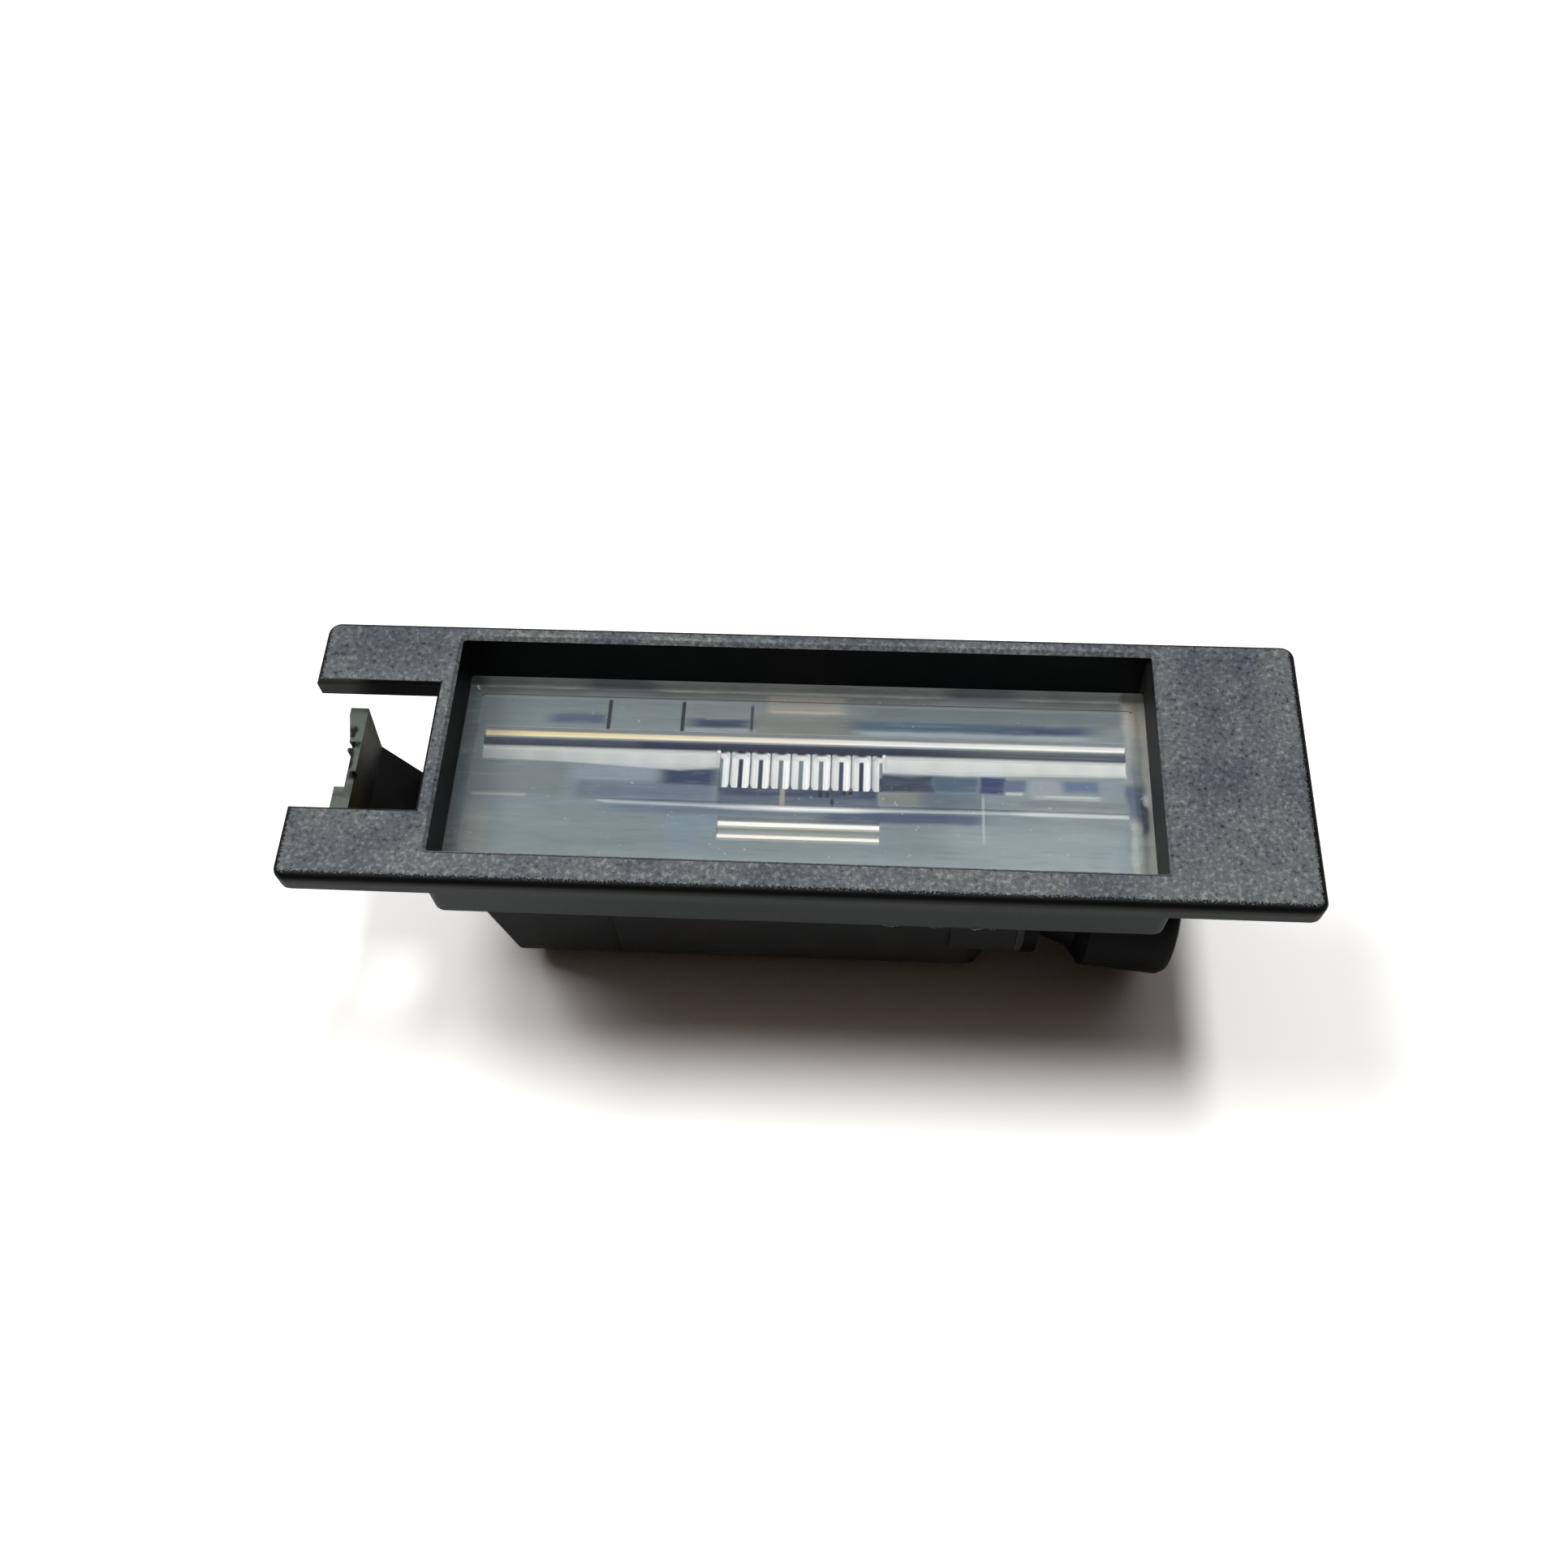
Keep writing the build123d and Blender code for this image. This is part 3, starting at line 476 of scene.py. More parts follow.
lens = {
    "halfX": 26.6, "y0": -8.7, "y1": 9.2, "corner": 0.55, "innerCorner": 0.02, "bevel": 0.08,
    "rim": 1.3, "back": 19.86, "web": 20.2, "front": 21.8, "crisp": 40,
    "ribEnd": 24.8,
    "longRib": (4.3, 0.55),  # y and radius
    "band": (2.65, 1.5, 0.9, 0.5, 6.5),  # y, foot width, top width, height, nearest x
    "flute": (7, 1.55, 1.5, 0.1, 3.35),  # whole ones, pitch, width, y from, y to
    "thinRib": (-1.4, 0.25, -14.9),  # y, radius, first x
    "lowRibs": ((-2.85, -3.8), 0.42, 6.1),  # both y, radius, half length
    # grid: x where the flutes and the ribs end, y where the ribs lie, margins and steps in mm
    "fineX": (6.6, 24.7), "fineY": ((-4.7, -0.9), (0.0, 5.0)), "fluteMargin": 0.05, "webEdge": 0.5,
    "step": {"fine": 0.06, "flute": 0.062, "rib": 0.9, "gap": 0.15, "plain": 0.5, "edge": 0.1},
    # painted highlights and shade of the relief: a stripe is its middle, half width and soft edge, a
    # step is its start and width, and a table is places along x over the values there
    "ribGlint": (0.34, 0.44, 0.12),  # stripes in radii of the rib
    "ribTop": (0.95, 0.14, 0.08), "ribTopShare": 0.7,
    "ribCream": ((-18, 7.8133), (1, 0.12)),
    "strip": (3.7, 0.42, 0.08), "stripDeep": ((-13, -12, 9, 15), (0.88, 1, 1, 0.76)),
    "bandFrom": 6.05, "bandTop": 3.2, "bandEdge": 0.16,
    "bandLine": (3.16, 0.13, 0.06), "bandLineShare": 0.97,
    "bandLow": ((-25, -20, -16, -9.3, -6.2, 6, 12, 18, 24),
                (2.1, 1.98, 1.7, 1.35, 1.7, 1.65, 1.55, 1.7, 1.8)),
    "bandFull": ((-25, -19, -18, -14, -6, 6, 25), (0.34, 0.34, 0.4, 0.5, 0.52, 0.6, 0.56)),
    "bandShade": (3.1, 0.82, 1.06),  # y, share at the lower edge and at that y
    "bandRipple": (0.04, 2.3),  # share, and sine along x
    "bandCream": (-18.5, 0.22, 0.08),  # x, share on its left and right
    "crown": (0.64, 0.5), "square": 6,  # mm below a flute's far end, mm to its edge, power
    "flankFrom": (0.2, 0.1), "flankTo": (0.93, 0.07),
    "crease": (0.45, 0.1, 0.06), "creaseShare": 0.2,
    "foot": (0.02, 0.3, 0.57, 0.4, 0.08),  # gap, curve, its middle and half width, soft edge
    "slotTo": (0.18, 0.08), "slotEnd": 5.9, "slotDeep": ((0.8, 1.6, 2.4, 4.0), (0.3, 0.42, 0.8, 1.0)),
    "gapFrom": (0.94, 0.05),
    "thinMiddle": ((-15, -9, -5, 0, 4, 8, 16, 25),
                   (-1.3, -1.45, -1.58, -1.6, -1.58, -1.48, -1.4, -1.4)),
    "thinGlow": ((-15, -8, -4.5, -1, 3.5, 7, 16.2, 16.8, 25),
                 (0.32, 0.24, 0.55, 1, 0.95, 0.3, 0.24, 0.44, 0.4)),
    "thinWide": ((-15, -8, -4.5, 4.5, 8, 16.2, 16.8, 25),
                 (0.22, 0.24, 0.36, 0.34, 0.2, 0.17, 0.32, 0.32)),
    "thinEdge": 1.2,
    "lowGlints": ((-0.14, 0.54, 0.15), (-0.42, 0.5, 0.15)),
    "lowFill": (0.6, 0.16, 0.3),  # mm past the second rib, white and cream
    # finish, with a painted view of the tray and room behind the lens on its inner face
    "clearLevel": (21.55, 21.65), "clear": (0.96, 0.97, 0.97),  # mm, the bare front face is above
    # colours of the painted highlights, their cream tint, and the painted shade in the slots
    "white": (0.93, 0.935, 0.93), "cream": (0.9, 0.76, 0.42), "slot": (6, 20, 56),
    "base": (121, 135, 140), "spread": (0.9, 1.1),
    "cover": (0.04, 0.13, 0.96, 0.88),  # by paleness, how far the painted view hides what is behind it
    "fullest": 0.97, "webBox": ((-25.2, 25.2, -7.3, 7.8), 0.3),
    "bend": (420.0, 1.0, 0.2),  # noise, and mm that patches wander along X and Y
    # noises: scale, detail, roughness; the drawn ones run along X
    "fields": {"paintedView": (260.0, 3.0, 0.6), "tint": (75.0, 3.0, 0.6), "dust": (2400.0, 2.0, 0.5)},
    "drawnFields": {"streak": (1100.0, 4.0, 0.6), "hair": (3600.0, 2.0, 0.5)}, "drawn": 0.12,
    "mottle": (0.35, 0.6, 0.88, 1.0),
    "rubbed": (700.0, 4.0), "rough": (0.4, 0.75, 0.02, 0.06),
    "index": 1.49, "specular": 0.17,
    # films below and above the painted reflections: noise, from, to, strength, screen colour; tinted and
    # streaked parts of the painted view, with dust specks last
    "under": [
        ("tint", 0.48, 0.66, 0.6, (112, 136, 152)),
        ("tint", 0.48, 0.32, 0.5, (128, 134, 128)),
    ],
    "over": [
        ("hair", 0.56, 0.74, 0.12, (168, 178, 180)),
        ("hair", 0.44, 0.28, 0.16, (74, 86, 100)),
        ("streak", 0.52, 0.75, 0.12, (172, 182, 182)),
        ("streak", 0.48, 0.28, 0.16, (62, 74, 92)),
        ("dust", 0.7, 0.78, 0.5, (196, 202, 200)),
    ],
    # painted reflections and shade of the tray and room seen through the lens: plan box, softness along
    # X and Y, screen colour, strength
    "paintedReflections": [
        ((-27, 27, 4.9, 7.85), (0.3, 0.3), (116, 127, 127), 0.8),
        ((-25.3, -15.3, 4.9, 7.6), (2.5, 0.6), (110, 124, 128), 0.7),
        ((4.5, 25.2, 6.3, 7.7), (3.0, 0.6), (96, 107, 109), 0.75),
        ((-4.0, 4.2, 4.9, 6.6), (1.4, 0.5), (110, 111, 104), 0.75),
        ((-27, 27, 7.9, 9.6), (0.3, 0.12), (118, 122, 119), 0.95),
        # painted light that lifts the far wall's cast shadow from the lens's far strip
        ((-27, 27, 8.65, 9.8), (0.3, 0.2), (232, 234, 230), 0.98),
        ((-17.2, -12.0, 8.0, 9.4), (2.4, 0.8), (128, 133, 146), 0.7),
        ((11.2, 16.8, 7.9, 9.4), (2.4, 0.9), (130, 138, 152), 0.7),
        ((-2.7, 3.1, 6.75, 8.6), (0.9, 0.4), (156, 152, 140), 0.85),
        ((-2.3, 2.9, 6.8, 7.0), (1.4, 0.12), (184, 178, 164), 0.7),
        ((-19.8, -15.4, 5.4, 6.3), (2.0, 0.5), (52, 70, 102), 0.85),
        ((-8.9, -4.1, 5.35, 6.1), (2.4, 0.35), (10, 38, 74), 0.95),
        ((-9.2, -4.1, 4.95, 5.25), (2.0, 0.2), (140, 152, 156), 0.7),
        ((3.6, 22.6, 5.5, 6.3), (3.0, 0.45), (36, 64, 94), 0.9),
        ((6.0, 12.0, 5.9, 6.1), (3.0, 0.2), (96, 112, 134), 0.7),
        ((14.5, 21.5, 5.55, 5.95), (2.0, 0.3), (22, 50, 84), 0.75),
        ((4.4, 22.0, 5.0, 5.35), (2.0, 0.15), (146, 160, 168), 0.8),
        ((-25.2, -18.0, -1.0, 1.95), (1.2, 0.5), (108, 118, 117), 0.7),
        ((-17.5, -11.4, 0.4, 1.6), (1.2, 0.35), (132, 146, 160), 0.75),
        ((-17.2, -6.4, -1.15, 0.3), (1.6, 0.7), (84, 98, 120), 0.75),
        ((-10.6, -6.15, 0.22, 1.6), (1.8, 0.3), (16, 40, 76), 1.0),
        ((6.05, 10.1, 0.1, 1.5), (0.4, 0.25), (26, 42, 66), 1.0),
        ((10.0, 13.6, 0.25, 1.5), (0.7, 0.3), (58, 82, 106), 1.0),
        ((13.75, 15.6, 0.15, 1.6), (0.35, 0.3), (2, 40, 88), 1.0),
        ((15.5, 17.2, 0.4, 1.4), (0.6, 0.3), (72, 90, 126), 0.9),
        ((17.2, 19.8, 0.2, 1.5), (0.8, 0.4), (146, 154, 162), 0.75),
        ((19.7, 22.6, 0.5, 1.45), (1.0, 0.35), (76, 98, 134), 0.9),
        ((22.6, 24.7, 0.3, 1.5), (1.2, 0.5), (120, 132, 146), 0.7),
        ((17.6, 22.8, -0.2, 0.22), (1.0, 0.15), (164, 172, 174), 0.8),
        ((17.0, 24.6, -0.85, -0.3), (1.5, 0.35), (104, 112, 120), 0.7),
        ((6.2, 9.8, -0.95, 0.0), (1.2, 0.45), (118, 119, 108), 0.75),
        ((9.2, 14.0, -1.2, 0.15), (1.4, 0.4), (76, 92, 110), 0.8),
        ((-6.2, 6.05, -1.3, 0.1), (0.35, 0.5), (74, 86, 108), 0.9),
        ((-6.1, 6.0, -0.6, 0.25), (0.5, 0.5), (36, 50, 80), 0.9),
        ((1.5, 14.0, -2.55, -1.7), (2.4, 0.4), (44, 64, 98), 0.9),
        ((-14.5, 1.5, -2.3, -1.7), (3.5, 0.5), (80, 95, 118), 0.7),
        ((-27, 27, -9, -5.6), (2.0, 2.4), (146, 158, 160), 0.6),
        ((-24.0, -10.0, -8.0, -2.2), (5.0, 1.6), (126, 136, 132), 0.6),
        ((-25.4, -23.4, -9, -2.4), (1.0, 2.5), (148, 155, 148), 0.7),
        ((10.0, 24.6, -9, -2.8), (4.0, 1.6), (146, 158, 160), 0.5),
        ((-27.5, -25.6, -9, 9.6), (1.9, 0.5), (80, 86, 88), 0.9),
        ((24.7, 27.5, -9, 9.6), (0.6, 0.3), (148, 152, 149), 0.9),
        ((24.8, 26.4, 5.6, 9.8), (1.2, 2.4), (176, 168, 156), 0.8),
        ((25.0, 25.9, 1.2, 3.2), (0.8, 1.6), (104, 116, 130), 0.7),
        ((24.7, 25.9, -1.6, 1.3), (0.5, 0.9), (62, 80, 104), 0.95),
        ((25.5, 26.45, -2.8, -0.1), (0.5, 0.9), (52, 66, 84), 0.95),
        ((24.75, 25.6, -8.6, -2.0), (0.35, 0.6), (168, 174, 170), 0.7),
        ((26.1, 27, -9, 9.6), (0.3, 0.2), (188, 186, 180), 0.7),
    ],
    # painted fine lines and specks of what shows through the lens, pale glints and dark seams and specks
    # among them, in the same order
    "lines": [
        ((-25.6, 25.6, 7.8, 7.95), (0.3, 0.1), (46, 54, 58), 0.85),
        ((-25.2, 25.2, 7.52, 7.7), (1.0, 0.12), (136, 143, 141), 0.6),
        ((-15.35, -15.05, 4.9, 7.6), (0.12, 0.2), (14, 18, 24), 1.0),
        ((-9.55, -9.25, 4.9, 7.6), (0.12, 0.2), (16, 20, 26), 1.0),
        ((-4.12, -3.88, 5.1, 7.4), (0.12, 0.5), (26, 34, 44), 0.9),
        ((-1.5, -1.12, -1.3, 0.1), (0.18, 0.3), (168, 160, 142), 0.75),
        ((1.42, 1.7, -0.55, -0.02), (0.14, 0.2), (2, 3, 6), 1.0),
        ((2.0, 2.22, -0.55, -0.12), (0.14, 0.2), (2, 3, 6), 1.0),
        ((2.35, 2.6, -1.2, -0.7), (0.16, 0.3), (6, 8, 14), 0.9),
        ((3.25, 3.5, -0.3, 0.05), (0.12, 0.2), (2, 3, 6), 1.0),
        ((3.7, 4.0, -0.28, 0.05), (0.12, 0.2), (2, 3, 6), 1.0),
        ((-25.1, -20.9, -1.22, -0.98), (0.5, 0.12), (166, 168, 160), 0.7),
        ((13.78, 13.98, -4.0, -0.1), (0.14, 1.0), (176, 186, 188), 0.6),
        ((18.6, 22.4, 0.02, 0.14), (0.8, 0.08), (196, 202, 202), 0.7),
        ((15.6, 16.9, 0.1, 0.36), (0.3, 0.12), (190, 196, 196), 0.7),
        ((25.95, 26.35, -0.35, 0.5), (0.25, 0.4), (206, 208, 204), 0.8),
    ],
}


def rise(v, start, width):
    # 0 up to start, then straight up to 1 over width
    return np.clip((v - start) / width, 0, 1)


def stripe(v, middle, half, edge):
    # 1 about the middle, falling straight to 0 over edge at half to either side
    return np.clip((half - np.abs(v - middle)) / edge, 0, 1)


def halfRound(v, middle, radius):
    # height of a half circle over its middle line
    t = (v - middle) / radius
    return radius * np.sqrt(np.clip(1 - t * t, 0, 1))


def lensRelief(x, y, s):
    # depth of the optics below the web: half circles for ribs, a trapezium for the bands, and for
    # a flute the half circle round its middle line, which is rounded at the far end only;
    # with it three paints from 0 to 1: painted highlights on the flanks, their cream tint, and painted
    # shade in the slots
    inLength = np.abs(x) < s["ribEnd"]

    # the long rib with its painted glint, and the painted shade of the dark strip along its near side
    y0, r = s["longRib"]
    t = (y - y0) / r
    depth = inLength * halfRound(y, y0, r)
    glint = inLength * stripe(t, *s["ribGlint"])
    white = np.maximum(glint, s["ribTopShare"] * inLength * stripe(t, *s["ribTop"]))
    cream = glint * np.interp(x, *s["ribCream"])
    dark = inLength * np.interp(x, *s["stripDeep"]) * stripe(y, *s["strip"])

    # the bands, painted pale as highlight down to a lower edge that varies along x, with a painted
    # bright line at the top
    y0, foot, flat, high, first = s["band"]
    inBand = inLength & (np.abs(x) > first)
    depth = np.maximum(depth, inBand * high * stripe(y, y0, foot / 2, (foot - flat) / 2))
    seen = inLength & (np.abs(x) > s["bandFrom"])
    low = np.interp(x, *s["bandLow"])
    fill = rise(y, low, s["bandEdge"]) * (y < s["bandTop"])
    upperY, lowShare, upperShare = s["bandShade"]
    full = np.interp(x, *s["bandFull"])
    full = full * np.interp((y - low) / (upperY - low), (0, 1), (lowShare, upperShare))
    ripple, pace = s["bandRipple"]
    full = full + ripple * np.sin(pace * x)
    line = s["bandLineShare"] * stripe(y, *s["bandLine"])
    white = np.maximum(white, seen * np.maximum(line, fill * full))
    creamX, leftShare, rightShare = s["bandCream"]
    cream = np.maximum(cream, seen * fill * np.where(x < creamX, leftShare, rightShare))

    # the flutes; their painted highlights and shade go by t, 0 on the middle line and 1 at the edge,
    # squarish above
    count, pitch, wide, near, far = s["flute"]
    r = wide / 2
    inRow = (np.abs(x) < (count + 1) / 2 * pitch) & (y > near)
    across = (x + pitch / 2) % pitch - pitch / 2
    off = np.hypot(across, np.maximum(y - (far - r), 0))
    depth = np.maximum(depth, inRow * halfRound(off, 0, r))
    inPaint = inRow & (y < far)
    below, run = s["crown"]
    crown = np.maximum(y - (far - below), 0) / run
    t = ((np.abs(across) / r) ** s["square"] + crown ** s["square"]) ** (1 / s["square"])
    flank = rise(t, *s["flankFrom"]) * (1 - rise(t, *s["flankTo"]))
    flank *= 1 - s["creaseShare"] * stripe(t, *s["crease"])
    gap, curve, middle, half, edge = s["foot"]
    foot = rise(y, near + gap + curve * (np.abs(t - middle) / half) ** 2, edge)
    white = np.where(inPaint, flank * foot, white)
    deep = np.interp(np.abs(x), *s["slotDeep"]) * (np.abs(x) < s["slotEnd"])
    slot = deep * (1 - rise(t, *s["slotTo"]))
    dark = np.maximum(dark, inPaint * np.maximum(slot, rise(t, *s["gapFrom"])))

    # the thin rib, whose glint wanders and swells along x
    y0, r, first = s["thinRib"]
    inRib = inLength & (x > first)
    depth = np.maximum(depth, inRib * halfRound(y, y0, r))
    middle = np.interp(x, *s["thinMiddle"])
    wide = np.interp(x, *s["thinWide"])
    glow = np.interp(x, *s["thinGlow"])
    white = np.maximum(white, inRib * glow * stripe(y, middle, wide, wide / s["thinEdge"]))

    # the pair of low ribs with their painted glints, and a faint painted film between and past them
    rows, r, half = s["lowRibs"]
    inPair = np.abs(x) < half
    for y0, glint in zip(rows, s["lowGlints"]):
        depth = np.maximum(depth, inPair * halfRound(y, y0, r))
        white = np.maximum(white, inPair * stripe((y - y0) / r, *glint))
    past, whiteShare, creamShare = s["lowFill"]
    fill = inPair & (y < rows[0]) & (y > rows[1] - past)
    white = np.maximum(white, whiteShare * fill)
    cream = np.maximum(cream, creamShare * fill)
    return depth, white, cream, dark


def stepLines(*spans, closest=0.012):
    # sorted grid lines from spans of (from, to, step), without lines closer than that to the last
    lines = np.concatenate([np.linspace(a, b, int(round((b - a) / step)) + 1) for a, b, step in spans])
    lines = np.unique(np.round(lines, 4))
    return lines[np.concatenate([[True], np.diff(lines) > closest])]


def roundedRing(x, y, half, low, high, radius, inner):
    # carries the web's edge loop out to a rectangle with rounded corners: stretched to the
    # rectangle, then points beyond a corner's centre are pulled on to its arc
    halfIn, lowIn, highIn = inner
    mid, span = (low + high) / 2, (high - low) / 2
    x = x / halfIn * half
    y = mid + (y - (lowIn + highIn) / 2) / ((highIn - lowIn) / 2) * span
    cx = np.clip(x, -(half - radius), half - radius)
    cy = np.clip(y, mid - span + radius, mid + span - radius)
    dx, dy = x - cx, y - cy
    far = np.hypot(dx, dy)
    onCorner = (np.abs(dx) > 1e-6) & (np.abs(dy) > 1e-6)
    pull = np.where(onCorner, radius / np.maximum(far, 1e-9), 1.0)
    return cx + dx * pull, cy + dy * pull


def lensGrid(s, inner):
    # lines across x, the same on both sides, and across y: close on the optics, wide between them
    step = s["step"]
    fluteX, ribX = s["fineX"]
    side = (s["flute"][0] + 1) / 2 * s["flute"][1] + s["fluteMargin"]
    right = [(side, fluteX, step["fine"]), (fluteX, ribX, step["rib"]), (ribX, inner[0], step["fine"])]
    left = [(-b, -a, size) for a, b, size in right]
    xs = stepLines((-side, side, step["flute"]), *left, *right)
    (lowFrom, lowTo), (highFrom, highTo) = s["fineY"]
    bottom = inner[1] + s["webEdge"]
    top = inner[2] - s["webEdge"]
    ys = stepLines((inner[1], bottom, step["edge"]), (bottom, lowFrom, step["plain"]),
                   (lowFrom, lowTo, step["fine"]), (lowTo, highFrom, step["gap"]),
                   (highFrom, highTo, step["fine"]), (highTo, top, step["plain"]),
                   (top, inner[2], step["edge"]))
    return np.meshgrid(xs, ys, indexing="ij")


def buildLens(s):
    # relief grid on the inner face, closed by rings over the rim, the edge and the flat front
    inner = (s["halfX"] - s["rim"], s["y0"] + s["rim"], s["y1"] - s["rim"])
    x, y = lensGrid(s, inner)
    depth, white, cream, dark = lensRelief(x, y, s)
    edge = (np.abs(x) > inner[0] - 1e-6) | (y < inner[1] + 1e-6) | (y > inner[2] - 1e-6)
    depth[edge] = 0
    nx, ny = x.shape
    points = [np.stack([x, y, s["web"] - depth], -1).reshape(-1, 3)]
    faces = [gridFaces(nx, ny)[:, ::-1]]
    index = np.arange(nx * ny).reshape(nx, ny)
    loop = np.concatenate([index[:-1, 0], index[-1, :-1], index[:0:-1, -1], index[0, :0:-1]])
    lx, ly = x.reshape(-1)[loop], y.reshape(-1)[loop]
    bevel = s["bevel"]
    outer = (s["halfX"], s["y0"], s["y1"])
    cut = (s["halfX"] - bevel, s["y0"] + bevel, s["y1"] - bevel)
    rings = [
        (*inner, s["innerCorner"], s["back"]),
        (*cut, s["corner"], s["back"]),
        (*outer, s["corner"], s["back"] + bevel),
        (*outer, s["corner"], s["front"] - bevel),
        (*cut, s["corner"], s["front"]),
    ]
    last = loop
    start = nx * ny
    for half, low, high, radius, z in rings:
        rx, ry = roundedRing(lx, ly, half, low, high, radius, inner)
        points.append(np.stack([rx, ry, np.full_like(rx, z)], -1))
        new = start + np.arange(len(loop))
        faces.append(np.stack([last, np.roll(last, -1), np.roll(new, -1), new], -1)[:, ::-1])
        last = new
        start += len(loop)
    allFaces = [f for block in faces for f in block.tolist()] + [last.tolist()]
    points = np.concatenate(points)
    piece = putMesh("ribbedLens", points, allFaces, True, s["crisp"])
    # the relief's painted highlights, their cream tint and painted shade go on the points as the optics
    # attribute
    paint = np.zeros((len(points), 4), np.float32)
    paint[:nx * ny, :3] = np.stack([white, cream, dark], -1).reshape(-1, 3)
    paint[:, 3] = 1
    layer = piece.data.attributes.new("optics", "FLOAT_COLOR", "POINT")
    layer.data.foreach_set("color", paint.reshape(-1))
    return piece


def film(tree, colour, fields, rows):
    # each row mixes in its own colour, from none where its noise is low to its strength where high
    for field, low, high, strength, tint in rows:
        share = between(tree, fields[field], low, high, 0.0, strength)
        colour = mixColour(tree, share, colour, tone(*tint))
    return colour


lensPiece = buildLens(lens)
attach(lensPiece, "lamp")
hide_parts("lens")
print("lens built:", len(lensPiece.data.polygons), "faces")

tree, shader, coords, xyz = startLook("clearRibbed", lensPiece)[:4]
bent = wander(tree, coords, *lens["bend"])
drawn = drawnOut(tree, coords, lens["drawn"])
fields = {key: noise(tree, coords, *values) for key, values in lens["fields"].items()}
fields.update({key: noise(tree, drawn, *values) for key, values in lens["drawnFields"].items()})
# the inner face carries a painted view of the tray and room behind the lens: a grey-blue base, tinted
# and streaked, with painted reflections and shade in patches and lines
dull, pale = [tone(*[c * share for c in lens["base"]]) for share in lens["spread"]]
paintedView = mixColour(tree, fields["paintedView"], dull, pale)
paintedView = film(tree, paintedView, fields, lens["under"])
mottled = between(tree, fields["streak"], *lens["mottle"])
for box, soft, colour, strength in lens["paintedReflections"]:
    share = calc(tree, "MULTIPLY", boxMask(tree, bent, box, soft), strength, mottled)
    paintedView = mixColour(tree, share, paintedView, tone(*colour))
paintedView = film(tree, paintedView, fields, lens["over"])
for box, soft, colour, strength in lens["lines"]:
    share = calc(tree, "MULTIPLY", boxMask(tree, xyz, box, soft), strength)
    paintedView = mixColour(tree, share, paintedView, tone(*colour))
optics = addNode(tree, "ShaderNodeAttribute", attribute_name="optics")
split = addNode(tree, "ShaderNodeSeparateColor")
tree.links.new(optics.outputs["Color"], split.inputs[0])
white, cream, dark = split.outputs
# painted shade in the slots, then painted highlights with their cream tint
paintedView = mixColour(tree, dark, paintedView, tone(*lens["slot"]))
paintedView = mixColour(tree, white, paintedView, mixColour(tree, cream, lens["white"], lens["cream"]))
# pale painted highlights, painted dark slots and the border hide what lies behind, the rest of the
# painted view lets some through
behind = betweenMm(tree, xyz["Z"], *lens["clearLevel"], 1.0, 0.0)
border = calc(tree, "MULTIPLY", outside(tree, boxMask(tree, xyz, *lens["webBox"])), lens["fullest"])
paleness = addNode(tree, "ShaderNodeRGBToBW")
tree.links.new(paintedView, paleness.inputs[0])
cover = calc(tree, "MAXIMUM", white, border, between(tree, paleness.outputs[0], *lens["cover"]),
             calc(tree, "MULTIPLY", dark, lens["fullest"]))
cover = calc(tree, "MULTIPLY", cover, behind)
feed(tree, mixColour(tree, behind, lens["clear"], paintedView), shader.inputs["Base Color"])
feed(tree, calc(tree, "SUBTRACT", lens["fullest"], cover), shader.inputs["Transmission Weight"])
rubbed = noise(tree, coords, *lens["rubbed"])
feed(tree, between(tree, rubbed, *lens["rough"]), shader.inputs["Roughness"])
shader.inputs["IOR"].default_value = lens["index"]
shader.inputs["Specular IOR Level"].default_value = lens["specular"]
letLampsThrough(tree, shader)
print("lens dressed")

trayLook = {
    "trough": (0.32, 0.36, 0.43), "flange": (0.42, 0.45, 0.49), "glint": (0.5, 0.53, 0.58),
    "level": (13.3, 18.3),  # mm, from the trough to the flange, painted darker down in the trough as shade
    "cloud": 300.0, "clouds": (0.4, 0.7, 0.0, 0.4),
    "brushed": 900.0, "rough": (0.35, 0.7, 0.22, 0.4), "metallic": 0.7,
}
reflector = smoothCopy("reflector", "brightTray")
tree, shader, coords, xyz = startLook("metallised", reflector)[:4]
# painted shade: the tray is darker down in the trough than up on the flange
height = betweenMm(tree, xyz["Z"], *trayLook["level"])
colour = mixColour(tree, height, trayLook["trough"], trayLook["flange"])
glints = between(tree, noise(tree, coords, trayLook["cloud"]), *trayLook["clouds"])
feed(tree, mixColour(tree, glints, colour, trayLook["glint"]), shader.inputs["Base Color"])
shader.inputs["Metallic"].default_value = trayLook["metallic"]
brushed = noise(tree, coords, trayLook["brushed"])
feed(tree, between(tree, brushed, *trayLook["rough"]), shader.inputs["Roughness"])

